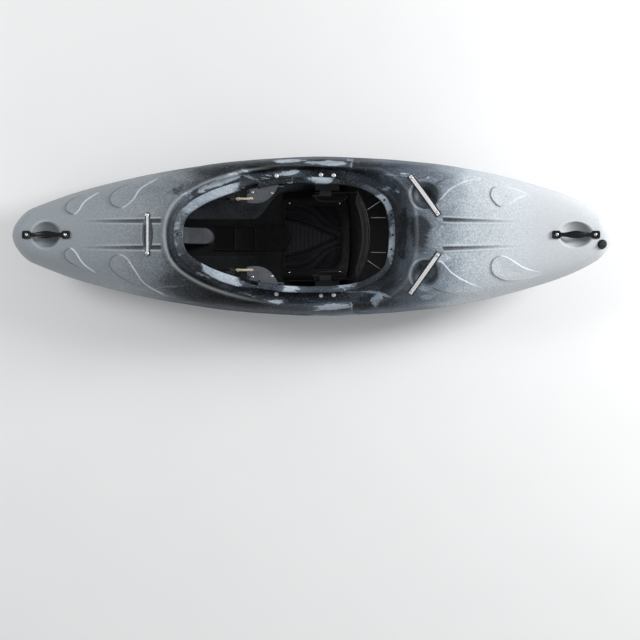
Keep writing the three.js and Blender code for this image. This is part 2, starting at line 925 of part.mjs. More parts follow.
const group = new THREE.Group();
function add(name, body, material, frame) {
  const solid = body.isBufferGeometry ? solidOf(body) : body;
  const mesh = new THREE.Mesh(geometryOf(solid), material);
  mesh.name = name;
  if (frame) mesh.applyMatrix4(frame);
  group.add(mesh);
}

// Bolts: frames on the hull, and the holes that they need in all that they pass
const raised = (frame, height) =>
  frame.clone().multiply(new THREE.Matrix4().makeTranslation(0, 0, height));
const collarBolts = sides.flatMap(([name, side]) =>
  collarBoltPlaces.map((x, i) => ({
    name: `collar_bolt_${name}_${i + 1}`,
    frame: onDeck(x, side * (cockpitHalfAt(x) + collarBoltReach)),
    length: collarBoltLength,
  })),
);
const railBolts = sides.flatMap(([name, side]) =>
  railBoltPlaces.map((x, i) => ({
    name: `rail_bolt_${name}_${i + 1}`,
    frame: fromSide(x, side, railBoltHeight),
    length: railBoltLength,
  })),
);
const boltCut = (bolt) =>
  seatCut(bolt.frame, boltShankRadius + fitGap, bolt.length + fitGap, boltHeadRadius + fitGap);
const cutAll = (solid, bolts) => bolts.reduce((left, bolt) => left.subtract(boltCut(bolt)), solid);

function boltGeometry(length) {
  const neck = boltHeadHeight / 2;
  return turned(
    [
      [0, -length],
      [boltShankRadius, -length],
      [boltShankRadius, 0],
      [boltHeadRadius, 0],
      [boltHeadRadius, neck / 2],
      [(boltHeadRadius * 2) / 3, boltHeadHeight],
      [0, boltHeadHeight],
    ],
    boltSides,
  );
}

function addBolts() {
  for (const bolt of [...collarBolts, ...railBolts]) {
    add(bolt.name, boltGeometry(bolt.length), steel, raised(bolt.frame, fitGap));
  }
}

// Drain: a socket in the stern deck, a seal and a plug that screws out
const drainFrame = onDeck(drainPlace, drainReach);
const drainHole = seatCut(
  drainFrame,
  drainBoreRadius + drainTubeWall + fitGap,
  drainTubeLength + overrun / 2,
  drainRingRadius + fitGap,
  drainSides,
);

function addDrain() {
  const tubeRadius = drainBoreRadius + drainTubeWall;
  const socket = turned(
    [
      [drainBoreRadius, -drainTubeLength],
      [tubeRadius, -drainTubeLength],
      [tubeRadius, fitGap],
      [drainRingRadius, fitGap],
      [drainRingRadius, drainRingHeight],
      [drainBoreRadius, drainRingHeight],
      [drainBoreRadius, -drainTubeLength],
    ],
    drainSides,
  );
  add("drain_socket", socket, blackPlastic, drainFrame);
  const seal = turned(
    [
      [drainBoreRadius, 0],
      [drainSealRadius, 0],
      [drainSealRadius, drainSealHeight],
      [drainBoreRadius, drainSealHeight],
      [drainBoreRadius, 0],
    ],
    drainSides,
  );
  add("drain_seal", seal, rubber, raised(drainFrame, drainRingHeight + fitGap));
  const stem = drainBoreRadius - fitGap;
  const head = turned(
    [
      [0, -drainStemLength],
      [stem, -drainStemLength],
      [stem, 0],
      [drainHeadRadius, 0],
      [drainHeadRadius, drainHeadHeight - fitGap],
      [drainHeadRadius - drainGripHalf / 2, drainHeadHeight],
      [0, drainHeadHeight],
    ],
    drainSides,
  );
  const grip = boxBetween(
    new THREE.Vector3(drainGripHalf - drainHeadRadius, -drainGripHalf, drainHeadHeight / 2),
    new THREE.Vector3(
      drainHeadRadius - drainGripHalf,
      drainGripHalf,
      drainHeadHeight + drainGripHeight,
    ),
  );
  const plugBase = drainRingHeight + drainSealHeight + 2 * fitGap;
  add("drain_plug", joined(head, grip), blackPlastic, raised(drainFrame, plugBase));
}

// Handles: screwed pads, narrow necks and a grip that swells and arches over its scoop
function handleHalfAt(x) {
  const fromEnd = handleLength / 2 - Math.abs(x);
  const neck = mix(
    handlePad / 2,
    handleNeckHalf,
    smooth(fromEnd, handlePad - handleNeckHalf / 2, handlePad + handleNeckHalf / 2),
  );
  const grip = mix(neck, handleGripHalf, smooth(fromEnd, handlePad * 1.5, handleLength / 2));
  const corner = handleNeckHalf / 2;
  const rounding = Math.sqrt(1 - (1 - clamp(fromEnd / corner, 0, 1)) ** 2);
  return grip - corner * (1 - rounding);
}

function handleGeometry() {
  const point = (u, v, z) => {
    const x = (u - 0.5) * handleLength;
    const lift = smooth(handleLength / 2 - Math.abs(x), handlePad, handleLength / 2);
    return new THREE.Vector3(x, (2 * v - 1) * handleHalfAt(x), handleArch * lift + z);
  };
  const body = slab(
    26,
    2,
    (u, v) => point(u, v, v === 0.5 ? handleThickness : handleThickness - fitGap * 4),
    (u, v) => point(u, v, 0),
  );
  const holes = [-1, 1].map((end) =>
    turned(
      [
        [0, -overrun],
        [boltShankRadius + fitGap, -overrun],
        [boltShankRadius + fitGap, overrun],
        [0, overrun],
      ],
      boltSides,
    ).translate(end * (handleLength / 2 - handleScrewInset), 0, 0),
  );
  return holes.reduce((solid, hole) => solid.subtract(solidOf(hole)), solidOf(body));
}

// The frame of a handle: it stands level on the higher deck under its two pads
function handleFrame(middle) {
  const reach = handleLength / 2 - handleScrewInset;
  const [bowEnd, sternEnd] = [-1, 1].map((end) => {
    const x = middle + end * reach;
    const heights = [-1, 0, 1].flatMap((a) =>
      [-1, 0, 1].map((b) => placeOf(onDeck(x + (a * handlePad) / 2, (b * handlePad) / 2)).z),
    );
    return new THREE.Vector3(x, 0, Math.max(...heights) + fitGap);
  });
  const forward = new THREE.Vector3().subVectors(sternEnd, bowEnd).normalize();
  const across = new THREE.Vector3(0, 1, 0);
  return new THREE.Matrix4()
    .makeBasis(forward, across, new THREE.Vector3().crossVectors(forward, across))
    .setPosition(bowEnd.add(sternEnd).multiplyScalar(1 / 2));
}

const handles = [
  ["bow_handle", handleFrame(bowHandlePlace)],
  ["stern_handle", handleFrame(sternHandlePlace)],
];
const handleScrews = handles.flatMap(([name, frame]) =>
  [-1, 1].map((end, i) => ({
    name: `${name}_screw_${i + 1}`,
    frame: frame
      .clone()
      .multiply(
        new THREE.Matrix4().makeTranslation(
          end * (handleLength / 2 - handleScrewInset),
          0,
          handleThickness,
        ),
      ),
    length: handleThickness + collarBoltLength,
  })),
);

function addHandles() {
  for (const [name, frame] of handles) add(name, handleGeometry(), blackPlastic, frame);
  for (const screw of handleScrews) {
    add(screw.name, boltGeometry(screw.length), steel, raised(screw.frame, fitGap));
  }
}

// The front rescue bar: a rod between two feet that stand square on the deck
function addFrontBar() {
  const foot = turned(
    [
      [0, 0],
      [frontBarFootRadius, 0],
      [frontBarFootRadius, frontBarFootHeight - frontBarRadius],
      [frontBarFootRadius / 2, frontBarFootHeight],
      [0, frontBarFootHeight],
    ],
    drainSides / 2,
  );
  const frames = sides.map(([, side]) => onDeck(troughPlace, side * frontBarHalf));
  const feet = frames.map((frame) => foot.clone().applyMatrix4(raised(frame, fitGap * 2)));
  const lift = placeOf(frames[0]).z + frontBarFootHeight - frontBarRadius;
  const rod = new THREE.CylinderGeometry(
    frontBarRadius,
    frontBarRadius,
    2 * frontBarHalf,
    drainSides / 2,
  ).translate(troughPlace, 0, lift);
  add("front_rescue_bar", joined(rod, ...feet), aluminium);
}

// A rear bar arches from foot to foot over its bowl, and clears the deck between them
function rearBar(side) {
  const outer = placeOf(onDeck(rearBarOuterPlace, side * rearBarOuterReach));
  const inner = placeOf(onDeck(rearBarInnerPlace, side * rearBarInnerReach));
  const forward = new THREE.Vector3().subVectors(inner, outer);
  const half = forward.length() / 2;
  forward.normalize();
  const up = new THREE.Vector3(0, 0, 1).addScaledVector(forward, -forward.z).normalize();
  const middle = new THREE.Vector3().addVectors(inner, outer).multiplyScalar(1 / 2);
  const frame = new THREE.Matrix4()
    .makeBasis(forward, new THREE.Vector3().crossVectors(up, forward), up)
    .setPosition(middle);
  const toFrame = frame.clone().invert();
  const end = half + rearBarFoot / 2;
  const rises = [-0.8, -0.7, -0.6, 0.6, 0.7, 0.8].flatMap((share) =>
    [-1, 1].map((edge) => {
      const p = new THREE.Vector3(share * half, (edge * rearBarWidth) / 2, 0).applyMatrix4(frame);
      return placeOf(onDeck(p.x, p.y)).applyMatrix4(toFrame).z / (1 - share ** 2);
    }),
  );
  const arch = Math.max(rearBarArch, ...rises);
  const under = (x) => arch * Math.max(0, 1 - (x / half) ** 2) + fitGap * 3;
  const places = Array.from({ length: rearBarSteps + 1 }, (_, i) =>
    mix(-end, end, i / rearBarSteps),
  );
  const profile = [
    ...places.map((x) => [x, under(x)]),
    ...places.reverse().map((x) => [x, under(x) + rearBarThickness]),
  ];
  return { bar: acrossPlate(profile, rearBarWidth), frame };
}

function addRearBars() {
  for (const [name, side] of sides) {
    const { bar, frame } = rearBar(side);
    add(`rear_rescue_bar_${name}`, bar, aluminium, frame);
  }
}

// Foam pillars
function addPillars() {
  const top =
    moatFloorAt(cockpitFront + pillarWidth / 2) - hullWall - 2 * fitGap;
  const outline = acrossPlate(
    [
      [frontPillarStart, 0],
      [frontPillarEnd, 0],
      [frontPillarEnd, frontPillarLowHeight - pillarRound],
      [frontPillarEnd - pillarRound, frontPillarLowHeight],
      [frontPillarShoulder + pillarRound, frontPillarLowHeight + pillarRound],
      [frontPillarShoulder, top],
      [frontPillarStart, top],
    ],
    pillarWidth,
  );
  const plan = new THREE.Shape();
  plan.moveTo(frontPillarStart, -pillarWidth / 2);
  plan.lineTo(frontPillarEnd - pillarRound, -pillarWidth / 2);
  plan.absarc(frontPillarEnd - pillarRound, 0, pillarRound, -Math.PI / 2, Math.PI / 2, false);
  plan.lineTo(frontPillarStart, pillarWidth / 2);
  const front = solidOf(outline).intersect(solidOf(plate(plan, hullHeight)));
  add("front_pillar", front.intersect(roomInside), foam);
  const rear = boxBetween(
    new THREE.Vector3(rearPillarStart, -pillarWidth / 2, 0),
    new THREE.Vector3(rearPillarEnd, pillarWidth / 2, hullHeight),
  );
  add("rear_pillar", solidOf(rear).intersect(roomInside), foam);
}

// Seat pan: a floor that turns up into side walls, with a notched front edge
const seatFloor = hullWall + fitGap;
const seatWallTopAt = (u) => mix(seatFrontWall, seatRearWall, smooth(u, 0, 0.8));

function seatPoint(u, v) {
  const across = Math.abs(2 * v - 1);
  const side = Math.sign(2 * v - 1);
  const flat = seatWidth / 2 - seatCorner;
  const turn = clamp((across - 0.5) / 0.3, 0, 1) * (Math.PI / 2);
  const climb = clamp((across - 0.8) / 0.2, 0, 1);
  const y = flat * Math.min(1, across / 0.5) + seatCorner * Math.sin(turn);
  const z = seatCorner * (1 - Math.cos(turn)) + climb * (seatWallTopAt(u) - seatCorner);
  const front =
    seatFront + seatNotch * Math.exp(-((y / seatNotchHalf) ** 2)) + seatLobe * smooth(across, 0.5, 1);
  const rear = seatFront + seatLength - seatLobe * smooth(across, 0.2, 1);
  return new THREE.Vector3(mix(front, rear, u), side * y, seatFloor + z + seatRearLift * u ** 4);
}

function seatPan() {
  const half = tongueWidth / 2;
  const top = hullWall + 2 * tongueSheet;
  const from = [tongueFront, seatFront + seatLobe + seatNotch];
  const trough = alongPlate(
    [
      [-half, 0],
      [half, 0],
      [half, top + tongueEdge],
      [half - tongueSheet, top + tongueEdge],
      [half - tongueSheet, top],
      [tongueSheet - half, top],
      [tongueSheet - half, top + tongueEdge],
      [-half, top + tongueEdge],
    ],
    ...from,
  );
  const ribs = tongueRibShares.map((share) => {
    const x = mix(tongueFront, seatFront, share);
    return boxBetween(
      new THREE.Vector3(x - tongueRib / 2, fitGap - half, top - fitGap),
      new THREE.Vector3(x + tongueRib / 2, half - fitGap, top + tongueRib),
    );
  });
  return joined(sheet(9, 20, seatPoint, seatSheet), trough, ...ribs).intersect(roomInside);
}

// Seat cushion: two lobes round a ribbed triangle, held down by sewn channels
function cushionRise(x, y, edge) {
  const apex = seatFront + seatNotch + cushionFrontInset + cushionTriangleLength;
  const toApex = clamp((apex - x) / cushionTriangleLength, 0, 1);
  const seam = Math.abs(Math.abs(y) - cushionTriangleHalf * toApex);
  const channel = x < apex ? Math.exp(-((seam / cushionChannelHalf) ** 2)) : 0;
  const inside = Math.abs(y) < cushionTriangleHalf * toApex;
  const ribs = inside ? Math.sin(toApex * cushionRibs * 2 * Math.PI) * (cushionChannel / 3) : 0;
  return cushionThickness * edge + cushionCrown * edge ** 2 - (cushionChannel * channel + ribs) * edge;
}

function cushion(pan) {
  const point = (u, v, raise) => {
    const y = (2 * v - 1) * cushionHalf;
    const front =
      seatFront + seatNotch * Math.exp(-((y / seatNotchHalf) ** 2)) + cushionFrontInset;
    const rear = seatFront + seatLength - cushionRearInset - seatLobe * (2 * v - 1) ** 4;
    const x = mix(front, rear, u);
    const share = clamp((x - seatFront) / seatLength, 0, 1);
    const edge =
      Math.min(1, cushionEndFall * u * (1 - u)) * Math.min(1, cushionSideFall * v * (1 - v));
    const base = seatFloor + seatRearLift * share ** 4;
    const up = raise ? seatSheet + cushionRise(x, y, Math.sqrt(edge)) + fitGap * 3 : seatSheet / 2;
    return new THREE.Vector3(x, y, base + up);
  };
  const body = slab(
    cushionSteps,
    cushionSteps,
    (u, v) => point(u, v, true),
    (u, v) => point(u, v, false),
  );
  const lifted = geometryOf(pan).translate(0, 0, 2 * fitGap);
  const cut = solidOf(body).subtract(pan).subtract(solidOf(lifted));
  return largest(cut);
}

// A pad against an upright face: crowned, with its rim drawn in
const crowned = (u, v, thickness, crown) => {
  const rim = Math.min(1, padRimFall * u * (1 - u), padRimFall * v * (1 - v));
  return thickness * (0.55 + 0.45 * Math.sqrt(rim)) + crown * (16 * u * (1 - u) * v * (1 - v)) ** 0.7;
};

function hipPad(side) {
  const wall = seatWidth / 2 - seatSheet - fitGap;
  const point = (u, v, depth) =>
    new THREE.Vector3(
      hipPadPlace + (u - 0.5) * hipPadLength,
      side * (wall - depth),
      seatFloor + hipPadBottom + v * hipPadHeight,
    );
  return slab(
    8,
    6,
    (u, v) => point(u, v, crowned(u, v, hipPadThickness, hipPadCrown)),
    (u, v) => point(u, v, 0),
  );
}

// Seat hangers: a flange under the collar, a knee and a leg outside the seat wall
const hangerMiddle = (collarBoltPlaces[1] + collarBoltPlaces[2]) / 2;
const legFace = seatWidth / 2 + fitGap;

function hanger(side) {
  const edge = cockpitHalfAt(hangerMiddle);
  const under = moatFloorAt(hangerMiddle) - hullWall;
  const top = under + hullWall / 2;
  const knee = under - hangerKneeDrop;
  const profile = [
    [edge + hangerFlangeReach, top],
    [edge + hangerFlangeInset, top],
    [legFace, knee],
    [legFace, hangerFoot],
    [legFace + hangerSheet, hangerFoot],
    [legFace + hangerSheet, knee],
    [edge + hangerFlangeInset + hangerSheet, under - hangerSheet],
    [edge + hangerFlangeReach, under - hangerSheet],
  ];
  const from = hangerMiddle - hangerLength / 2;
  const body = solidOf(alongPlate(mirrored(profile, side), from, from + hangerLength));
  return cutAll(body.subtract(blank).subtract(loweredBlank), collarBolts);
}

function addSeat() {
  const pan = seatPan();
  add("seat_pan", pan, seatPlastic);
  add("seat_cushion", cushion(pan), fabric);
  for (const [name, side] of sides) {
    add(`hip_pad_${name}`, hipPad(side), fabric);
    add(`seat_hanger_${name}`, hanger(side), blackPlastic);
  }
}

// Thigh braces: a blade that tapers along the coaming, with a leg bolted under the collar
const braceFloor = braceSeat() + bracketThickness + fitGap;

function braceBlade(side) {
  const point = (u, v, z) => {
    const x = braceFront + u * braceLength;
    const width = braceWidth * (0.78 + 0.9 * u) * (1 - u ** 2) ** 0.8 + braceThickness / 2;
    const y = cockpitHalfAt(x) - braceWallGap - v * width;
    const reach = smooth(v * width, bracketReach + braceThickness, braceWidth + 2 * braceThickness);
    const droop = braceThickness * reach;
    return new THREE.Vector3(x, side * y, braceFloor + z - droop);
  };
  return slab(
    12,
    4,
    (u, v) => point(u, v, braceThickness),
    (u, v) => point(u, v, 0),
  );
}

function braceLeg(side) {
  const x = collarBoltPlaces[0];
  const from = x - bracketFlangeLength / 2;
  const sections = [0, 0.5, 1].map((share) => {
    const at = from + share * bracketFlangeLength;
    const face = cockpitHalfAt(from) - braceWallGap;
    const under = moatFloorAt(at) - hullWall;
    const low = under - bracketFlangeSheet;
    return [
      [cockpitHalfAt(x) + hangerFlangeReach, under + hullWall / 2],
      [face, under + hullWall / 2],
      [face, braceFloor + braceThickness / 2],
      [face - bracketFlangeSheet, braceFloor + braceThickness / 2],
      [face - bracketFlangeSheet, low],
      [cockpitHalfAt(x) + hangerFlangeReach, low],
    ].map(([y, z]) => new THREE.Vector3(at, side * y, z));
  });
  return loft(sections, false);
}

function brace(side) {
  const inward = blankGeometry.clone().translate(0, -side * fitGap, 0);
  const solid = joined(braceBlade(side), braceLeg(side));
  return cutAll(
    solid.subtract(blank).subtract(loweredBlank).subtract(solidOf(inward)),
    collarBolts,
  );
}

function bracket(side) {
  const middle = frontBandEnd + notchLength / 2;
  const inner = cockpitHalfAt(middle);
  const from = frontBandEnd + fitGap;
  const to = frontBandEnd + notchLength - fitGap;
  const low = braceSeat() + fitGap;
  const box = (x0, x1, y0, y1, z0, z1) =>
    sideBox(side, new THREE.Vector3(x0, y0, z0), new THREE.Vector3(x1, y1, z1));
  const outer = inner + notchDepth - fitGap;
  const base = box(from, to, inner - bracketReach, outer, low, braceSeat() + bracketThickness);
  const behind = cockpitHalfAt(to) + fitGap;
  const post = box(
    to - bracketPostLength,
    to,
    behind,
    outer,
    low,
    braceSeat() + bracketPostHeight,
  );
  return joined(base, post);
}

// Cord cleats: a channel on the throat wall, a cam on its pin and a cord under the cam
const camHeight = cordHeight + cordRadius + fitGap + cleatCamRadius;

function cleatBody(side) {
  const low = cordHeight - cordRadius - cleatWall - fitGap;
  const outer = cockpitHalfAt(cleatPlace) + cleatWall;
  const box = (x0, x1, y0, y1, z0, z1) =>
    sideBox(side, new THREE.Vector3(x0, y0, z0), new THREE.Vector3(x1, y1, z1));
  const from = cleatPlace - cleatLength / 2;
  const to = from + cleatLength;
  const near = cleatReach - cleatWidth / 2;
  const far = cleatReach + cleatWidth / 2;
  const top = low + cleatHeight;
  const pin = new THREE.CylinderGeometry(
    cleatPinRadius,
    cleatPinRadius,
    cleatWidth - cleatWall,
    boltSides,
  ).translate(cleatPlace, side * cleatReach, camHeight);
  const body = joined(
    box(from, to, near, outer, low, low + cleatWall),
    box(from, to, near, near + cleatWall, low, top),
    box(from, to, far - cleatWall, outer, low, top),
    pin,
  );
  const inward = blankGeometry.clone().translate(0, -side * fitGap, 0);
  return largest(body.subtract(blank).subtract(loweredBlank).subtract(solidOf(inward)));
}

function cleatCam() {
  const width = cleatWidth - 2 * cleatWall - 2 * fitGap;
  const outline = new THREE.Shape();
  outline.absarc(0, 0, cleatCamRadius, Math.PI / 2, 2 * Math.PI, false);
  outline.lineTo(cleatCamRadius, cleatCamRadius - cleatCamThickness);
  outline.lineTo(cleatCamRadius + cleatCamHandle, cleatCamRadius);
  outline.lineTo(cleatCamRadius + cleatCamHandle, cleatCamRadius + cleatCamThickness);
  outline.lineTo(0, cleatCamRadius);
  const bore = new THREE.Path();
  bore.absarc(0, 0, cleatPinRadius + fitGap, 0, 2 * Math.PI, true);
  outline.holes.push(bore);
  return plate(outline, width)
    .translate(0, 0, -width / 2)
    .rotateX(Math.PI / 2);
}

// The footrest cord: up from the plate, straight back through the cleat, then a tied loop
const loopMiddle = braceFloor + braceThickness + cordRadius + loopCordRadius + loopHeight / 2;

function cord(side) {
  const y = side * cleatReach;
  const start = footPlace + fitGap;
  const dip = cordDipStart - start;
  const loopFront = cleatPlace + cleatLength / 2 + loopCordRadius + 2 * cordRadius;
  const low = deckHeight(start, y) - hullWall - cordClearance;
  const rise = cordHeight - low;
  const route = new THREE.CatmullRomCurve3(
    [
      [start, low],
      [start + 2 * cordRadius, low],
      [start + dip / 4, low + rise / 8],
      [start + (dip * 3) / 4, cordHeight - rise / 8],
      [cordDipStart, cordHeight],
      [mix(cordDipStart, cleatPlace, 1 / 2), cordHeight],
      [cleatPlace, cordHeight],
      [cleatPlace + cleatLength / 2, cordHeight],
      [loopFront, mix(cordHeight, loopMiddle, 1 / 2)],
      [loopFront + cordRadius, loopMiddle],
    ].map(([x, z]) => new THREE.Vector3(x, y, z)),
    false,
    "centripetal",
  );
  const rings = Array.from({ length: loopSteps }, (_, i) => {
    const angle = (i / loopSteps) * 2 * Math.PI;
    const out = new THREE.Vector3(Math.cos(angle), 0, Math.sin(angle));
    return Array.from({ length: cordSides }, (_unused, j) => {
      const turn = (j / cordSides) * 2 * Math.PI;
      return new THREE.Vector3(
        loopFront + loopLength / 2 + (loopLength / 2) * out.x,
        y,
        loopMiddle + (loopHeight / 2) * out.z,
      )
        .addScaledVector(out, loopCordRadius * Math.cos(turn))
        .add(new THREE.Vector3(0, loopCordRadius * Math.sin(turn), 0));
    });
  });
  return joined(tube(route, cordRadius, cordSides, cordSteps), loft(rings, true));
}

function addBraces() {
  for (const [name, side] of sides) {
    add(`thigh_brace_${name}`, brace(side), greyPlastic);
    add(`brace_bracket_${name}`, bracket(side), blackPlastic);
    add(`cord_cleat_${name}`, cleatBody(side), blackPlastic);
    const pin = new THREE.Matrix4().makeTranslation(cleatPlace, side * cleatReach, camHeight);
    add(`cleat_cam_${name}`, cleatCam(), blackPlastic, pin);
    add(`footrest_cord_${name}`, cord(side), cordFibre);
  }
}

// Footrest: a plate across the bow with two arms that slide in rails bolted to the hull
function footPlate() {
  const edge = armReach - armSheet;
  const box = boxBetween(
    new THREE.Vector3(footPlace - footSheet, -edge, footBottom),
    new THREE.Vector3(footPlace, edge, footTop),
  );
  const room = solidOf(hullLoft(hullWall + footClearance));
  return solidOf(box).intersect(room);
}

function footPad(side) {
  const point = (u, v, depth) =>
    new THREE.Vector3(
      footPlace + fitGap + depth,
      side * mix(footPadInner, footPadOuter, u),
      mix(footPadBottom, footPadTop, v),
    );
  return slab(
    6,
    6,
    (u, v) => point(u, v, crowned(u, v, footPadThickness, footPadCrown)),
    (u, v) => point(u, v, 0),
  );
}

function footArm(side) {
  const inner = footPadOuter + armSheet;
  const start = footPlace + fitGap;
  const bend = armSheet / 2;
  const plan = [
    [start, inner],
    [start, inner + armSheet],
    [armBend - bend, armReach + armSheet],
    [armEnd, armReach + armSheet],
    [armEnd, armReach],
    [armBend, armReach],
    [start + armSheet, inner],
  ].map(([x, y]) => [x, side * y]);
  return plate(shapeOf(plan), armHeight).translate(0, 0, railBoltHeight - armHeight / 2);
}

function footRail(side) {
  const inside = armReach - 2 * fitGap;
  const web = armReach + armSheet + 2 * fitGap;
  const half = armHeight / 2 + 2 * fitGap;
  const profile = [
    [inside, half - railLip],
    [inside, half],
    [web, half],
    [web, -half],
    [inside, -half],
    [inside, railLip - half],
    [inside - railWall, railLip - half],
    [inside - railWall, -half - railWall],
    [web + railWall, -half - railWall],
    [web + railWall, half + railWall],
    [inside - railWall, half + railWall],
    [inside - railWall, half - railLip],
  ].map(([y, z]) => [side * y, z + railBoltHeight]);
  const from = railPlace - railLength / 2;
  const channel = alongPlate(profile, from, from + railLength);
  const spacers = railBoltPlaces.map((x) =>
    new THREE.CylinderGeometry(spacerRadius, spacerRadius, 2 * overrun, boltSides).translate(
      x,
      side * (web + railWall / 2 + overrun),
      railBoltHeight,
    ),
  );
  return cutAll(joined(channel, ...spacers).intersect(roomInside), railBolts);
}

function addFootrest() {
  add("foot_plate", footPlate(), aluminium);
  for (const [name, side] of sides) {
    add(`foot_pad_${name}`, footPad(side), foam);
    add(`foot_arm_${name}`, footArm(side), aluminium);
    add(`foot_rail_${name}`, footRail(side), aluminium);
  }
}

// Backband: an arched shell with a padded face, ladder straps and elastic cords
const bandPoint = (u, v, depth) => {
  const turn = (2 * u - 1) * bandHalfAngle;
  const radius = bandRadius - depth;
  const taper = 1 - 0.3 * Math.abs(2 * u - 1) ** 3;
  return new THREE.Vector3(
    bandPlace - bandRadius + radius * Math.cos(turn),
    radius * Math.sin(turn),
    bandBottom + bandHeight * (0.5 + (v - 0.5) * taper),
  );
};

function bandPad() {
  const back = bandShell + fitGap;
  const within = (u) => 0.5 + (u - 0.5) * bandPadShare;
  return slab(
    bandSteps,
    8,
    (u, v) => {
      const depth = back + crowned(u, v, bandPadThickness, bandPadCrown);
      const point = bandPoint(within(u), v, depth);
      point.z += bandPadRoll * smooth(v, 0.7, 1) * (1 - Math.abs(2 * u - 1) ** 3);
      return point;
    },
    (u, v) => bandPoint(within(u), v, back),
  );
}

function strap(side) {
  const end = bandPoint(1, 0.5, bandShell);
  const length = end.x - fitGap - strapFront;
  const teeth = Math.floor((length * 0.7) / strapPitch);
  const outline = [
    [length, -strapThickness],
    [0, -strapThickness],
  ];
  for (let i = 0; i < teeth; i++) {
    outline.push(
      [i * strapPitch, strapTooth],
      [(i + 1 / 2) * strapPitch, strapTooth],
      [(i + 1 / 2) * strapPitch, 0],
      [(i + 1) * strapPitch, 0],
    );
  }
  outline.push([length, 0]);
  const plan = outline.map(([x, y]) => [strapFront + x, side * (strapReach - y)]);
  return plate(shapeOf(plan), strapWidth).translate(0, 0, strapHeight - strapWidth / 2);
}

// A ratchet: a base on the hanger's leg, two cheeks round the strap and a pin for the lever
const ratchetPinReach = strapReach - strapTooth - leverHubRadius - 2 * fitGap;

function ratchetBody(side) {
  const from = ratchetPlace - ratchetLength / 2;
  const to = from + ratchetLength;
  const outer = legFace - fitGap;
  const inner = strapReach + strapThickness + 2 * fitGap;
  const half = strapWidth / 2 + leverSideGap;
  const box = (y0, y1, z0, z1) =>
    sideBox(
      side,
      new THREE.Vector3(from, y0, strapHeight + z0),
      new THREE.Vector3(to, y1, strapHeight + z1),
    );
  const deep = outer - ratchetDepth;
  const pin = new THREE.CylinderGeometry(
    ratchetPinRadius,
    ratchetPinRadius,
    2 * half + ratchetWall,
    boltSides,
  )
    .rotateX(Math.PI / 2)
    .translate(ratchetPlace, side * ratchetPinReach, strapHeight);
  return joined(
    box(inner, outer, -half - ratchetWall, half + ratchetWall),
    box(deep, outer, half, half + ratchetWall),
    box(deep, outer, -half - ratchetWall, -half),
    pin,
  );
}

function ratchetLever(side) {
  const outline = new THREE.Shape();
  outline.absarc(0, 0, leverHubRadius, -Math.PI / 2, Math.PI / 2, false);
  outline.lineTo(-leverLength + leverThickness, leverHubRadius + leverThickness / 2);
  outline.lineTo(-leverLength, leverHubRadius);
  outline.lineTo(-leverLength, leverHubRadius - leverThickness / 2);
  outline.lineTo(-leverHubRadius, leverHubRadius - leverThickness);
  outline.lineTo(-leverHubRadius, -leverHubRadius / 2);
  const bore = new THREE.Path();
  bore.absarc(0, 0, ratchetPinRadius + fitGap, 0, 2 * Math.PI, true);
  outline.holes.push(bore);
  const depth = strapWidth;
  const body = plate(outline, depth).translate(0, 0, -depth / 2);
  if (side > 0) body.rotateX(Math.PI);
  return body;
}

function elastic(side) {
  const back = bandPlace + elasticRadius + fitGap * 3;
  const onBand = (y) => {
    const dip = bandRadius - Math.sqrt(bandRadius ** 2 - y ** 2);
    return new THREE.Vector3(back - dip, side * y, elasticHeight);
  };
  const inner = onBand(elasticSpread);
  const between = onBand((elasticSpread + elasticSpreadOuter) / 2);
  const outer = onBand(elasticSpreadOuter);
  const toRim = (point, y) => {
    const from = new THREE.Vector3(point.x, point.y, elasticRimHeight);
    const aim = new THREE.Vector3(
      cockpitFront + cockpitLength,
      side * y,
      elasticRimHeight,
    ).sub(from);
    const hit = placeOf(landing(from, aim.normalize()));
    return hit.addScaledVector(aim, -2 * elasticRadius);
  };
  const far = toRim(outer, elasticSpreadOuter + (elasticSpreadOuter - elasticSpread) * 2);
  const near = toRim(inner, elasticSpread + elasticRadius);
  const route = new THREE.CatmullRomCurve3(
    [far, far.clone().lerp(outer, 0.9), outer, between, inner, near.clone().lerp(inner, 0.9), near],
    false,
    "centripetal",
  );
  return tube(route, elasticRadius, cordSides, elasticSteps);
}

function addBackband() {
  const shell = slab(
    bandSteps,
    4,
    (u, v) => bandPoint(u, v, bandShell),
    (u, v) => bandPoint(u, v, 0),
  );
  add("backband_shell", shell, greyPlastic);
  add("backband_pad", bandPad(), fabric);
  for (const [name, side] of sides) {
    add(`backband_strap_${name}`, strap(side), blackPlastic);
    add(`ratchet_body_${name}`, ratchetBody(side), blackPlastic);
    const pin = new THREE.Matrix4().makeTranslation(
      ratchetPlace,
      side * ratchetPinReach,
      strapHeight,
    );
    add(`ratchet_lever_${name}`, ratchetLever(side), greyPlastic, pin);
    add(`backband_elastic_${name}`, elastic(side), blackCord);
  }
}

add(
  "hull_shell",
  geometryOf(
    cutAll(blank, [...collarBolts, ...railBolts, ...handleScrews]).subtract(drainHole),
  ),
  hullPlastic,
);
addPillars();
addSeat();
addBraces();
addFootrest();
addBackband();
addHandles();
addFrontBar();
addRearBars();
addDrain();
addBolts();

export default group;
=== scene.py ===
# %% [markdown]
# # A whitewater kayak, seen from above
#
# The boat is one hollow moulding of polyethylene, made by turning a hot mould with coloured powder
# in it. That process gives the soft edges, the even wall, the faint orange peel and the marbled
# colour. All that is bolted to it is harder and sharper: rods, bars, straps, screws and a seat.
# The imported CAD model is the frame: every piece made here lies where its CAD node lies, and rides
# on the same body. Lengths are metres, +X runs to the stern, +Y to starboard and +Z up.

import json
import math

import bmesh
import bpy
import numpy as np
from mathutils import Matrix, Vector


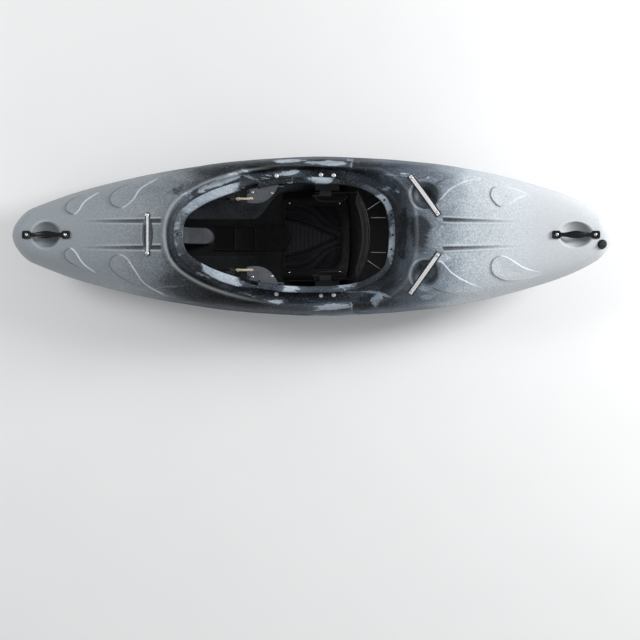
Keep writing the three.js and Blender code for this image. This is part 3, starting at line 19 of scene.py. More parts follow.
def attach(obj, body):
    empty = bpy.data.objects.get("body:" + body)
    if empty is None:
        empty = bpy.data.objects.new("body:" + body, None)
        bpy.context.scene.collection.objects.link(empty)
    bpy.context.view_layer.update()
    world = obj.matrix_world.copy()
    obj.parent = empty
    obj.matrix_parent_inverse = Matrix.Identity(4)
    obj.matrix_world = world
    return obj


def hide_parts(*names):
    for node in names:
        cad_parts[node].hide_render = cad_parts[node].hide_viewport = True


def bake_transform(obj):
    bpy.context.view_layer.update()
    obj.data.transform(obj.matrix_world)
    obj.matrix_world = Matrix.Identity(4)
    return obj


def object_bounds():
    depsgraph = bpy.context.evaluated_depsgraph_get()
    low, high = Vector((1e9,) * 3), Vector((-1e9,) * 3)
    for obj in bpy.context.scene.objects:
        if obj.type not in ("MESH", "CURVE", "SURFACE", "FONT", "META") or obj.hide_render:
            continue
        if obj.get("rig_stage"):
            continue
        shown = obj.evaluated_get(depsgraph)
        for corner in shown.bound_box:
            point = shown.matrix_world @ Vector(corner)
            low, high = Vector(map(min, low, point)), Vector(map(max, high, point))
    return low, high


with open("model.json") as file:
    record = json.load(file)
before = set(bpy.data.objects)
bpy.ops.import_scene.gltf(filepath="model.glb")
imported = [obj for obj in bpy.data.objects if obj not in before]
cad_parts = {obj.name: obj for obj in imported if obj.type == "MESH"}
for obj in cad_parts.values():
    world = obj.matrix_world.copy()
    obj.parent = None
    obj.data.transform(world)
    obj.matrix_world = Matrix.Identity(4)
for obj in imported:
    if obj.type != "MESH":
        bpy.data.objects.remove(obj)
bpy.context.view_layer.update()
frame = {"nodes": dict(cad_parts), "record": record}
nodes = frame["nodes"]
BODY = {n: b for b, names in frame["record"]["behaviour"]["bodies"].items() for n in names}
SIDES = (("left", -1), ("right", 1))

# %% [markdown]
# ## Small sums
#
# A few sums come back all over the boat: a value part of the way between two others, a soft step,
# a hump, and the way gone along a line. A line that is drawn by a formula crowds its points where
# it turns slowly, while a skin or a tube needs them evenly spaced, so a line is drawn first and
# spaced afterwards. A smooth curve through chosen points passes through each of them in the
# direction from the one before to the one after.


# %% Small sums
def mix(a, b, t):
    return a + (b - a) * t


def smooth(v, start, end):
    """A soft step: 0 before start and 1 after end."""
    t = np.clip((v - start) / (end - start), 0, 1)
    return t * t * (3 - 2 * t)


def hump(v, middle, width):
    """1 at the middle, and nearly nothing two widths away."""
    return np.exp(-(((v - middle) / width) ** 2))


def lengths(line):
    """The way gone from the start of a line to each of its points."""
    return np.r_[0, np.cumsum(np.linalg.norm(np.diff(line, axis=0), axis=1))]


def spaced(line, count, closed=False):
    """Points at even steps along a line. A closed line's last step leads back to its start."""
    line = np.vstack([line, line[:1]]) if closed else line
    length = lengths(line)
    at = np.arange(count) * length[-1] / count if closed else np.linspace(0, length[-1], count)
    return np.stack([np.interp(at, length, line[:, k]) for k in range(line.shape[1])], -1)


def curve_through(points, count):
    """Points at even steps along a smooth curve through the given ones."""
    p = np.array(points, float)
    ends = np.vstack([2 * p[0] - p[1], p, 2 * p[-1] - p[-2]])
    out = []
    for a, b, c, d in zip(ends[:-3], ends[1:-2], ends[2:-1], ends[3:]):
        t = np.linspace(0, 1, 24, endpoint=False)[:, None]
        square, cube = 2 * a - 5 * b + 4 * c - d, 3 * b - a - 3 * c + d
        out.append(0.5 * (2 * b + (c - a) * t + square * t**2 + cube * t**3))
    return spaced(np.vstack([*out, p[-1:]]), count)


arc = np.linspace(0, np.pi / 2, 60)
print("a quarter circle measures", lengths(np.stack([np.cos(arc), np.sin(arc)], -1))[-1].round(4), "radii")

# %% [markdown]
# ## The lines of the hull
#
# A naval architect draws a boat by its lines: the keel, the gunwale seam and the deck seen from
# the side, and the half breadth seen from above. Every section is then one curve below the seam
# and one above it. The table holds those lines, read off the two views, and the CAD part uses the
# same one. Here they are followed in much finer steps.

# %% Lines
LENGTH, BEAM, HEIGHT, WALL = 2.55, 0.685, 0.417, 0.006
WIDEST = 0.033
BOW_ROUND, STERN_ROUND = 0.078, 0.06
BOW_TIP, STERN_TIP = 0.298, 0.304
LOW_POWER, LOW_FLAT, HIGH_FLAT = 2.6, 0.1, 0.16
# Each row: place as a share of the length, half breadth, and the heights of keel, seam and deck.
LINES = np.array(
    [
        (-0.5, 0.23, 0.51, 0.69, 0.81),
        (-0.457, 0.375, 0.41, 0.6, 0.815),
        (-0.407, 0.519, 0.276, 0.52, 0.822),
        (-0.356, 0.631, 0.163, 0.492, 0.847),
        (-0.306, 0.722, 0.096, 0.468, 0.897),
        (-0.256, 0.8, 0.05, 0.456, 0.965),
        (-0.205, 0.863, 0.025, 0.451, 0.99),
        (-0.155, 0.919, 0.008, 0.449, 1.015),
        (-0.105, 0.956, -0.019, 0.449, 0.985),
        (-0.046, 0.984, -0.019, 0.449, 0.911),
        (0.013, 1, -0.019, 0.452, 0.845),
        (0.072, 0.985, 0.01, 0.465, 0.835),
        (0.13, 0.96, 0.042, 0.482, 0.868),
        (0.172, 0.931, 0.065, 0.487, 0.925),
        (0.214, 0.897, 0.103, 0.499, 0.95),
        (0.265, 0.834, 0.163, 0.516, 0.933),
        (0.315, 0.753, 0.235, 0.544, 0.899),
        (0.365, 0.65, 0.314, 0.58, 0.859),
        (0.416, 0.528, 0.427, 0.624, 0.845),
        (0.458, 0.388, 0.532, 0.669, 0.84),
        (0.5, 0.19, 0.63, 0.72, 0.815),
    ]
)


def along(table, place, column):
    """A column of a table at any place, on a smooth curve through its rows."""
    xs, ys = table[:, 0], table[:, column]
    slopes = np.r_[
        (ys[1] - ys[0]) / (xs[1] - xs[0]),
        (ys[2:] - ys[:-2]) / (xs[2:] - xs[:-2]),
        (ys[-1] - ys[-2]) / (xs[-1] - xs[-2]),
    ]
    at = np.clip(place, xs[0], xs[-1])
    i = np.clip(np.searchsorted(xs, at) - 1, 0, len(xs) - 2)
    span, rise = xs[i + 1] - xs[i], ys[i + 1] - ys[i]
    t = (at - xs[i]) / span
    bend = (1 - t) * (slopes[i] * span - rise) - t * (slopes[i + 1] * span - rise)
    return ys[i] + rise * t + t * (1 - t) * bend


def section(x):
    """Half breadth, keel, seam, deck and fullness of the section at x."""
    to_end = np.maximum(0, LENGTH / 2 - np.abs(x))
    end = np.where(x < 0, BOW_ROUND, STERN_ROUND)
    fill = np.sqrt(np.maximum(0, 1 - (1 - np.minimum(1, to_end / end)) ** 2))
    tip = np.where(x < 0, BOW_TIP, STERN_TIP)
    half = BEAM / 2 * along(LINES, x / LENGTH, 1) * fill
    keel, seam, deck = (mix(tip, HEIGHT * along(LINES, x / LENGTH, k), fill) for k in (2, 3, 4))
    return half, keel, seam, deck, mix(2.3, 3.3, np.cos(np.pi * x / LENGTH) ** 2)


def bulge(t, power, flat):
    """Share of the half breadth at a share of the way up from the seam, or down."""
    return np.maximum(0, 1 - t**power) ** (1 / power) * (1 - flat * t * (1 - t))


def half_section(x, inset, low_count, high_count):
    """The section at x from the keel to the middle of the deck, at even steps of its length."""
    half, keel, seam, deck, power = section(x)
    half = max(half - inset, 0)
    turn = np.linspace(0, np.pi / 2, 160)
    t = np.cos(turn) ** (2 / LOW_POWER)
    low = np.stack([half * bulge(t, LOW_POWER, LOW_FLAT), np.maximum(inset, mix(seam, keel + inset, t))], -1)
    t = np.sin(turn) ** (2 / power)
    high = np.stack([half * bulge(t, power, HIGH_FLAT), mix(seam, deck - inset, t)], -1)
    return np.vstack([spaced(low, low_count + 1), spaced(high, high_count + 1)[1:]])


def deck_height(x, y):
    """Height of the bare deck over a point, by halving."""
    half, _, seam, deck, power = section(np.asarray(x, float))
    reach = np.minimum(1, np.abs(y) / half)
    low, high = np.zeros_like(reach), np.ones_like(reach)
    for _ in range(30):
        middle = (low + high) / 2
        inside = bulge(middle, power, HIGH_FLAT) > reach
        low, high = np.where(inside, middle, low), np.where(inside, high, middle)
    return mix(seam, deck, low)


print("widest beam:", 2 * section(np.array(WIDEST))[0], "deck over the knees:", deck_height(-0.4, 0.0))

# %% [markdown]
# ## The cockpit's edge and the height of its lip
#
# The opening is an egg, blunt at the front and squarer at the back. Everything around it follows
# its edge at a fixed distance: the lip, the moat in which the spray skirt's elastic lies, and the
# collar outside it. So a point of the deck is placed by its reach, the distance to that edge.

# %% Cockpit outline
FRONT, OPENING, WIDTH = -0.545, 0.871, 0.436
EGG = [(0, 0), (0.02, 0.33), (0.1, 0.575), (0.24, 0.8), (0.45, 0.97), (0.66, 1)]
EGG += [(0.84, 0.93), (0.93, 0.77), (0.975, 0.6), (0.994, 0.36), (1, 0)]
# Each row: place as a share of the length, then lip and moat floor as shares of the height.
RIM = np.array(
    [
        (-0.25, 1, 0.932),
        (-0.217, 1, 0.93),
        (-0.188, 0.986, 0.918),
        (-0.141, 0.955, 0.88),
        (-0.0945, 0.911, 0.81),
        (-0.0475, 0.863, 0.742),
        (-0.012, 0.827, 0.702),
        (0.023, 0.799, 0.7),
        (0.082, 0.77, 0.7),
        (0.117, 0.768, 0.7),
        (0.14, 0.777, 0.706),
    ]
)


def egg_line(samples=60):
    """The closed edge of the opening on a centripetal curve, front, starboard, rear, port."""
    half = [(FRONT + a * OPENING, b * WIDTH / 2) for a, b in EGG]
    loop = np.array(half + [(x, -y) for x, y in half[-2:0:-1]])
    out = []
    for i in range(len(loop)):
        p = [loop[(i + k) % len(loop)] for k in (-1, 0, 1, 2)]
        d = [np.linalg.norm(p[k + 1] - p[k]) ** 0.5 for k in range(3)]
        m1 = ((p[1] - p[0]) / d[0] - (p[2] - p[0]) / (d[0] + d[1]) + (p[2] - p[1]) / d[1]) * d[1]
        m2 = ((p[2] - p[1]) / d[1] - (p[3] - p[1]) / (d[1] + d[2]) + (p[3] - p[2]) / d[2]) * d[1]
        t = np.linspace(0, 1, samples, endpoint=False)[:, None]
        c = 2 * p[1] - 2 * p[2] + m1 + m2
        out.append(p[1] + m1 * t + (3 * (p[2] - p[1]) - 2 * m1 - m2) * t**2 + c * t**3)
    return np.vstack(out)


EDGE = spaced(egg_line(), 900, closed=True)
TANGENT = np.roll(EDGE, -1, 0) - np.roll(EDGE, 1, 0)
TANGENT /= np.linalg.norm(TANGENT, axis=1)[:, None]
OUTWARD = np.stack([-TANGENT[:, 1], TANGENT[:, 0]], -1)
BATCH = 4000


def reach_of(x, y):
    """Distance outside the cockpit's edge, and the x of the nearest point of that edge."""
    reach, place = np.empty(len(x)), np.empty(len(x))
    for start in range(0, len(x), BATCH):
        now = slice(start, start + BATCH)
        away = np.stack([x[now], y[now]], -1)[:, None, :] - EDGE[None]
        near = np.argmin((away**2).sum(-1), 1)
        gap = away[np.arange(len(near)), near]
        square = (gap * OUTWARD[near]).sum(-1)
        distance = np.linalg.norm(gap, axis=1)
        reach[now] = np.sign(square) * np.where(distance < 0.012, np.abs(square), distance)
        place[now] = EDGE[near][:, 0]
    return reach, place


def rim_top(x):
    return HEIGHT * along(RIM, x / LENGTH, 1)


def moat_floor(x):
    return HEIGHT * along(RIM, x / LENGTH, 2)


def collar(place):
    """Reach of the collar's crest, and the width of the ramp inside it."""
    rear = smooth((place - FRONT) / OPENING, 0.78, 1)
    return mix(0.078, 0.112, rear), mix(0.018, 0.064, rear)


print("opening", np.ptp(EDGE[:, 0]), "by", np.ptp(EDGE[:, 1]))

# %% [markdown]
# ## Relief of the deck: pockets and moat
#
# The mould's deck half carries all the relief, and each part of it is a height laid on the bare
# deck. The scoops let fingers under the carrying handles, the trough and the bowls let a
# carabiner under the rescue bars, and the moat takes the skirt's elastic. Pockets are joined to
# the deck with a soft minimum, because powder can't fill a sharp inner corner of a mould.
# With its height each part lays down a painted shading: above 0 a painted highlight where an
# edge faces the light, below 0 painted shade in a hollow or on a face turned from the light. The
# finish reads it later.

# %% Pockets and moat
# Each row: the middle's x and y, length, width and depth.
POCKETS = [
    (-1.127, 0.0, 0.118, 0.112, 0.034),
    (1.116, 0.0, 0.140, 0.112, 0.034),
    (-0.694, 0.0, 0.046, 0.150, 0.030),
    (0.476, 0.168, 0.118, 0.118, 0.038),
    (0.476, -0.168, 0.118, 0.118, 0.038),
]
FAR = 9.0


def soft_min(a, b, size):
    h = np.clip(0.5 + 0.5 * (b - a) / size, 0, 1)
    return mix(b, a, h) - size * h * (1 - h)


def from_pocket(x, y, pocket):
    """Distance from a pocket's middle, where 1 is its edge."""
    cx, cy, length, width = pocket[:4]
    return np.hypot((x - cx) / (length / 2), (y - cy) / (width / 2))


def with_pockets(x, y, z, wear):
    """Hollows with a soft rim, painted shade towards the wall that faces the bow, and a painted highlight on
    the rim at the bow end.
    """
    for pocket in POCKETS:
        cx, cy, length, _, depth = pocket
        r = from_pocket(x, y, pocket)
        towards_stern = smooth((x - cx) / (length / 2), -0.8, 0.7)
        wear *= smooth(r, 0.94, 1.06)
        # painted shade on the stern half of the pocket and a painted highlight just outside its bow end
        wear -= 0.62 * (1 - smooth(r, 0.86, 1.02)) * towards_stern
        wear += 0.35 * hump(r, 1.1, 0.07) * (1 - towards_stern)
        floor = depth * np.where(r < 1, -(np.clip(1 - r**2.2, 0, 1) ** 0.6), (r - 1) * 6)
        level = deck_height(np.array(cx), np.array(cy))
        near = r < 1.6
        z[near] = soft_min(z[near], level + floor[near], 0.005)
    return z, wear


def with_moat(x, y, z):
    """The moat's floor, the ramp up to the collar and its crest, and each point's reach."""
    near = (np.abs(x + 0.1) < 0.62) & (np.abs(y) < 0.37)
    reach, place = reach_of(x[near], y[near])
    ridge, ramp = collar(place)
    on_floor = 1 - smooth(reach, ridge - ramp, ridge - 0.004)
    crest = 0.0068 * hump(reach, ridge, 0.0095)
    z[near] = moat_floor(place) * on_floor + (z[near] + crest) * (1 - on_floor)
    out = np.full(len(x), FAR)
    out[near] = reach
    return z, out


print(len(POCKETS), "pockets, the deepest", max(pocket[4] for pocket in POCKETS))

# %% [markdown]
# ## Relief of the deck: ribs and hip ledges
#
# Two pairs of ribs stiffen each deck between cockpit and handle. A rib is a channel with a raised
# lip on both sides. Beside the seat the deck is a flat ledge, which ends behind the paddler's hip
# in a slanting step with a hollow after it.

# %% Ribs and hip ledges
# Each row: a rib's far and near end, and its distance from the middle line at both.
RIBS = ((-0.995, -0.632, 0.056, 0.056), (0.878, 0.545, 0.051, 0.061))
LEDGE_FRONT, LEDGE_REAR, LEDGE_SLANT = -0.36, 0.165, 0.012


def with_ribs(x, y, z, wear):
    """Each rib is a channel between two raised lips, deepest at its cockpit end."""
    for start, end, near, far in RIBS:
        share = np.clip((x - start) / (end - start), 0, 1)
        swell = smooth(share, 0, 0.9) ** 0.8 * (1 - smooth(share, 0.975, 1))
        middle = mix(near, far, share)
        half = mix(0.0042, 0.0084, share)
        for side in (-1, 1):
            gap = np.abs(y - side * middle)
            lips = hump(gap - half, 0.0045, 0.0038)
            floor = 1 - smooth(gap, half - 0.004, half + 0.0015)
            z = z + swell * (0.0042 * lips - 0.0105 * floor)
            # painted highlights on the lips and painted shade in the channel between them
            wear = wear + swell * (0.5 * lips - 0.8 * floor)
    return z, wear


def with_steps(x, y, z, wear):
    """The hip ledge is a flat shelf that ends in a slanting step, with a hollow behind it."""
    outer = np.abs(y)
    face = LEDGE_REAR + LEDGE_SLANT * np.clip((outer - 0.277) / 0.057, 0, 1)
    band = smooth(outer, 0.284, 0.291) * smooth(z, 0.19, 0.23)
    past = smooth(x, face - 0.003, face + 0.003)
    ledge = smooth(x, LEDGE_FRONT, -0.2) * (1 - past)
    hollow = past * (1 - smooth(x, face + 0.02, face + 0.12))
    groove = hump(outer, 0.281, 0.0055) * smooth(x, -0.34, -0.2) * (1 - smooth(x, 0.16, 0.2))
    edge = hump(x - face, -0.002, 0.004) * (1 - smooth(outer, 0.3, 0.335))
    # a painted highlight along the step's edge and painted shade in the hollow behind it
    wear = wear + band * (0.42 * edge - 0.6 * hollow)
    return z + 0.0085 * band * ledge - 0.011 * band * hollow - 0.005 * groove, wear


print("ribs", [round(abs(end - start), 3) for start, end, _, _ in RIBS], "long, ledge to", LEDGE_REAR)

# %% [markdown]
# ## Relief of the deck: leaves
#
# Each leaf is a low terrace inside a closed outline: it has a crisp rim at its round end and
# runs out to nothing at its tip, which is what makes it look folded and not merely drawn. An
# outline has the few points that its shape needs, tip first. A point of the deck is inside when
# a line from it crosses the outline an odd number of times.

# %% Leaves
LEAVES = (
    ((-0.904, 0.187), (-0.964, 0.144), (-0.990, 0.104), (-1.014, 0.087), (-1.046, 0.108),
     (-1.036, 0.142), (-0.985, 0.170)),
    ((-0.650, 0.245), (-0.724, 0.197), (-0.759, 0.146), (-0.804, 0.114), (-0.846, 0.127),
     (-0.857, 0.163), (-0.82, 0.2), (-0.73, 0.235)),
    ((-0.915, -0.164), (-0.970, -0.123), (-1.004, -0.072), (-1.028, -0.057), (-1.050, -0.077),
     (-1.039, -0.108), (-0.981, -0.141)),
    ((-0.623, -0.258), (-0.707, -0.209), (-0.752, -0.147), (-0.786, -0.098), (-0.825, -0.085),
     (-0.857, -0.113), (-0.849, -0.146), (-0.804, -0.185), (-0.707, -0.237)),
    ((0.919, 0.172), (0.867, 0.151), (0.820, 0.124), (0.786, 0.121), (0.755, 0.160),
     (0.768, 0.200), (0.84, 0.2)),
    ((0.730, 0.243), (0.649, 0.226), (0.585, 0.193), (0.540, 0.148), (0.512, 0.145),
     (0.505, 0.185), (0.54, 0.225), (0.62, 0.25)),
    ((0.983, -0.162), (0.899, -0.141), (0.840, -0.106), (0.801, -0.091), (0.766, -0.104),
     (0.756, -0.135), (0.768, -0.170), (0.820, -0.194), (0.900, -0.188)),
    ((0.735, -0.230), (0.657, -0.202), (0.591, -0.164), (0.545, -0.118), (0.512, -0.122),
     (0.5, -0.165), (0.506, -0.218), (0.560, -0.242), (0.636, -0.245)),
)


def leaf_depth(p, loop):
    """How deep each point lies inside a closed line, and which of its points is nearest."""
    away = np.sqrt(((p[:, None, :] - loop[None]) ** 2).sum(-1))
    a, b = loop[:-1], loop[1:]
    crosses = (a[None, :, 1] > p[:, 1:]) != (b[None, :, 1] > p[:, 1:])
    rise = np.where(np.abs(b[:, 1] - a[:, 1]) < 1e-12, 1e-12, b[:, 1] - a[:, 1])
    meet = a[:, 0] + (p[:, 1:] - a[None, :, 1]) * (b[:, 0] - a[:, 0]) / rise
    inside = (crosses & (p[:, :1] < meet)).sum(1) % 2 == 1
    gap = away.min(1)
    return np.where(inside, gap, -gap), away.argmin(1)


def facing_stern(loop):
    """How far each stretch of a closed line faces the stern, from -1 to 1."""
    a, b = loop[:-1], loop[1:]
    outward = np.stack([b[:, 1] - a[:, 1], a[:, 0] - b[:, 0]], -1)
    outward /= np.linalg.norm(outward, axis=1)[:, None]
    turns = ((b[:, 0] - a[:, 0]) * (b[:, 1] + a[:, 1])).sum()
    return outward[:, 0] * (-1 if turns > 0 else 1)


def with_leaves(x, y, z, wear):
    """Terraces with painted highlights on rims that face the stern and painted shade on rims that face the
    bow.
    """
    for outline in LEAVES:
        loop = curve_through([*outline, outline[0]], 160)
        low, high = loop.min(0) - 0.03, loop.max(0) + 0.03
        near = np.nonzero((x > low[0]) & (x < high[0]) & (y > low[1]) & (y < high[1]))[0]
        p = np.stack([x[near], y[near]], -1)
        depth, nearest_of = leaf_depth(p, loop)
        tip = np.array(outline[0])
        from_tip = np.linalg.norm(p - tip, axis=1) / np.linalg.norm(loop - tip, axis=1).max()
        clear = np.ones(len(near))
        for pocket in POCKETS:
            clear *= smooth(from_pocket(p[:, 0], p[:, 1], pocket), 1.0, 1.2)
        step = 0.0048 * smooth(depth, -0.0024, 0.0024) - 0.003 * smooth(depth, 0.004, 0.045)
        z[near] += smooth(from_tip, 0.04, 0.5) * clear * (step + 0.0012 * hump(depth, 0.002, 0.0026))
        facing = facing_stern(loop)[np.minimum(nearest_of, len(loop) - 2)]
        # painted highlight where a rim faces the stern and the key light, painted shade where it faces the
        # bow
        pale = 0.95 * smooth(facing, -0.15, 0.35) * smooth(from_tip, 0.0, 0.1)
        dark = 0.75 * smooth(-facing, -0.1, 0.5) * smooth(from_tip, 0.3, 0.75)
        wear[near] += clear * hump(depth, 0, 0.0025) * np.where(facing > -0.05, pale, -dark)
    return z, wear


print(len(LEAVES), "leaves from", sum(len(outline) for outline in LEAVES), "points")

# %% [markdown]
# ## Relief of the deck: all of it
#
# The order matters: ribs and leaves first, then the ledge, then the pockets, which cut through
# what they meet, and the moat last. The collar's crest gets a painted highlight, most of all in front.


# %% All the relief
def relief(x, y, z):
    """Heights of the deck with all that is moulded into it, each point's reach and its painted shading."""
    z, wear = with_ribs(x, y, z.copy(), np.zeros(len(x)))
    z, wear = with_leaves(x, y, z, wear)
    z, wear = with_steps(x, y, z, wear)
    z, wear = with_pockets(x, y, z, wear)
    z, reach = with_moat(x, y, z)
    front = 1 - smooth((x - FRONT) / OPENING, 0.15, 0.5)
    # painted highlight along the collar's crest, strongest in front
    wear += (0.06 + 0.3 * front) * hump(reach - collar(x)[0], 0.001, 0.0055)
    return z, reach, wear


bowl = [np.array([v]) for v in POCKETS[3][:2]]
bare = deck_height(*bowl)
print("bowl:", (relief(*bowl, bare)[0] - bare).round(4), "from the bare deck")

# %% [markdown]
# ## Tools for meshes
#
# Most pieces that a formula describes need each point where the formula puts it, so their meshes
# are written directly from points and faces. Each is then tidied: doubles merged, normals turned
# outwards, and smooth shading except over a given angle. What stands for a CAD node rides on
# the node's body and hides the node.


# %% Tools for meshes
def only(obj):
    bpy.ops.object.select_all(action="DESELECT")
    obj.select_set(True)
    bpy.context.view_layer.objects.active = obj
    return obj


def mesh_piece(name, points, faces, angle=35, numbers=()):
    """A mesh from points and faces, with any named numbers that its finish reads per point."""
    mesh = bpy.data.meshes.new(name)
    mesh.from_pydata([tuple(map(float, p)) for p in points], [], [tuple(map(int, f)) for f in faces])
    for label, values in dict(numbers).items():
        mesh.attributes.new(label, "FLOAT", "POINT").data.foreach_set("value", values)
    obj = bpy.data.objects.new(name, mesh)
    bpy.context.scene.collection.objects.link(obj)
    return tidy(obj, angle)


def tidy(obj, angle=35, weld=1e-6):
    """Doubles merged, faces turned outwards, and smooth but for edges over the angle."""
    work = bmesh.new()
    work.from_mesh(obj.data)
    bmesh.ops.remove_doubles(work, verts=work.verts, dist=weld)
    bmesh.ops.dissolve_degenerate(work, edges=work.edges, dist=weld / 10)
    bmesh.ops.recalc_face_normals(work, faces=work.faces)
    work.to_mesh(obj.data)
    work.free()
    only(obj)
    bpy.ops.object.shade_smooth_by_angle(angle=math.radians(angle))
    return obj


def stands_for(obj, *names, body=None):
    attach(obj, body or BODY[names[0]])
    if names:
        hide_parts(*names)
    return obj


def grid_faces(rows, columns, start=0, wrap=False):
    i, j = np.meshgrid(np.arange(rows - 1), np.arange(columns if wrap else columns - 1), indexing="ij")
    a = start + i * columns + j
    b = start + i * columns + (j + 1) % columns
    return np.stack([a, a + columns, b + columns, b], -1).reshape(-1, 4)


print("3 by 4 points make", len(grid_faces(3, 4)), "faces, or", len(grid_faces(3, 4, wrap=True)), "if round")

# %% [markdown]
# ## The skin
#
# The outer skin is a grid of sections, close together where there is relief to show and wider
# apart elsewhere, cut in three at plain places to keep each mesh a handy size. The inner skin is
# the same grid one wall further in and coarser: it shows only through the cockpit. Where the
# relief is steep it takes the lowest height nearby, so that it never pokes through the outer one.
# Both leave the opening free, and the coaming closes it. Every point carries its painted shading,
# and a number that is 1 on the bottom.

# %% Hull skins
BOW = -LENGTH / 2 + BOW_ROUND * np.array([0, 0.012, 0.05, 0.11, 0.2, 0.32, 0.46, 0.62, 0.8, 1])
STERN = LENGTH / 2 - STERN_ROUND * np.array([1, 0.8, 0.6, 0.42, 0.26, 0.14, 0.06, 0.015, 0])
BOW_END, STERN_END = -1.197, 1.215
BESIDE = ((0.008, 0), (-0.008, 0), (0, 0.008), (0, -0.008))


def spread(start, *spans):
    """Places from start on: each span is its end and the step up to it."""
    out = [np.array([start])]
    for end, step in spans:
        out.append(np.linspace(start, end, max(2, round((end - start) / step) + 1))[1:])
        start = end
    return np.concatenate(out)


def skin(name, xs, low_count, high_count, inset, from_reach, corners_in):
    """A grid of sections over xs: a face stays if any or all of its corners are past a reach."""
    rings = []
    for x in xs:
        half = half_section(x, inset, low_count, high_count)
        rings.append(np.vstack([half, half[-2:0:-1] * (-1, 1)]))
    ring = np.array(rings)
    x = np.broadcast_to(xs[:, None] * (1 - 2 * 3 * inset / LENGTH), ring.shape[:2])
    y, z = ring[..., 0], ring[..., 1].copy()
    on_deck = np.zeros(ring.shape[:2], bool)
    on_deck[:, low_count + 1 : low_count + 2 * high_count] = True
    base = z[on_deck] + inset
    top, reach, lit_and_shaded = relief(x[on_deck], y[on_deck], base)
    for dx, dy in BESIDE if inset else ():
        beside = relief(x[on_deck] + dx, y[on_deck] + dy, base)[0]
        top = np.where(reach > 0.03, np.minimum(top, beside), top)
    z[on_deck] = top - inset
    away, wear, under = (np.full(ring.shape[:2], v) for v in (FAR, 0.0, 1.0))
    away[on_deck], wear[on_deck] = reach, lit_and_shaded
    under[:, low_count : low_count + 2 * high_count + 1] = 0
    faces = grid_faces(len(xs), ring.shape[1], wrap=True)
    free = corners_in(away.reshape(-1)[faces] > from_reach, 1)
    used = np.unique(faces[free])
    place = np.zeros(x.size, int)
    place[used] = np.arange(len(used))
    points = np.stack([x, y, z], -1).reshape(-1, 3)[used]
    # the relief's painted shading, and the number for the painted shade on the bottom
    numbers = {"wear": wear.reshape(-1)[used], "under": under.reshape(-1)[used]}
    return mesh_piece(name, points, place[faces[free]], 60, numbers)


cuts = {
    "bow": np.r_[BOW, spread(BOW_END, (-1.06, 0.007), (-0.6, 0.003))[1:]],
    "middle": spread(-0.6, (0.14, 0.0055), (0.5, 0.0042)),
    "stern": np.r_[spread(0.5, (0.99, 0.003), (STERN_END, 0.006)), STERN[1:]],
}
skins = []
for name, xs in cuts.items():
    skins.append(stands_for(skin(f"hull_skin_{name}", xs, 12, 130, 0.0, 0.012, np.any), "hull_shell"))
xs = np.r_[BOW, spread(BOW_END, (-0.62, 0.02), (0.4, 0.008), (STERN_END, 0.02))[1:], STERN[1:]]
inside = skin("hull_inside", xs, 12, 56, WALL, 0.001, np.all)
inside.data.flip_normals()
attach(inside, "hull")
print("outer skin:", sum(len(o.data.polygons) for o in skins), "faces, inner:", len(inside.data.polygons))

# %% [markdown]
# ## The parting line
#
# A fine bead runs round the boat where the two halves of the mould meet. It is a tube along the
# seam. The same tool makes the cords, rods and piping further on, so it takes a radius for each
# point, closes on itself where asked, and carries its frame along so that it never twists.


# %% Parting line
def tube(name, line, radius, sides=12, closed=False):
    """A tube along a line of points, its frame carried along, with flat caps on open ends."""
    line = np.array(line, float)
    ahead = np.roll(line, -1, 0) - np.roll(line, 1, 0) if closed else np.gradient(line, axis=0)
    ahead /= np.linalg.norm(ahead, axis=1)[:, None]
    side = np.cross(ahead[0], (0, 0, 1) if abs(ahead[0][2]) < 0.9 else (1, 0, 0))
    radii = np.broadcast_to(np.array(radius, float), (len(line),)).copy()
    rings = []
    turn = np.linspace(0, 2 * np.pi, sides, endpoint=False)[:, None]
    for point, way, r in zip(line, ahead, radii):
        side = side - way * side.dot(way)
        side /= np.linalg.norm(side)
        rings.append(point + r * (np.cos(turn) * side + np.sin(turn) * np.cross(way, side)))
    points = np.vstack(rings)
    faces = grid_faces(len(line), sides, wrap=True).tolist()
    if closed:
        last = (len(line) - 1) * sides
        faces += [(last + j, j, (j + 1) % sides, last + (j + 1) % sides) for j in range(sides)]
    else:
        faces += [tuple(range(sides)), tuple(range(len(points) - sides, len(points)))]
    return mesh_piece(name, points, faces, 50)


seam_x = LENGTH / 2 * np.sin(np.linspace(-np.pi / 2, np.pi / 2, 260))
seam_half, _, seam_z, _, _ = section(seam_x)
seam = np.column_stack([seam_x, seam_half - 0.0004, seam_z])
seam = np.vstack([seam, seam[-2:0:-1] * (1, -1, 1)])
parting = tube("parting_line", seam, 0.0013, 8, closed=True)
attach(parting, "hull")
print("parting line:", lengths(seam)[-1].round(3), "long")

# %% [markdown]
# ## The coaming
#
# The throat wall rises from the moat and turns out into a lip with a rolled edge, under which the
# skirt's elastic snaps. At the front the lip is a wide flat band. It ends square at the notch that
# takes the brace bracket, and goes on narrower from there. The ring is lofted from one profile
# that is moved along the edge of the opening.

# %% Coaming
NOTCH, NOTCH_LENGTH, NOTCH_DEPTH = -0.305, 0.078, 0.015
BRACE_SEAT = float(rim_top(-0.276)) - 0.047


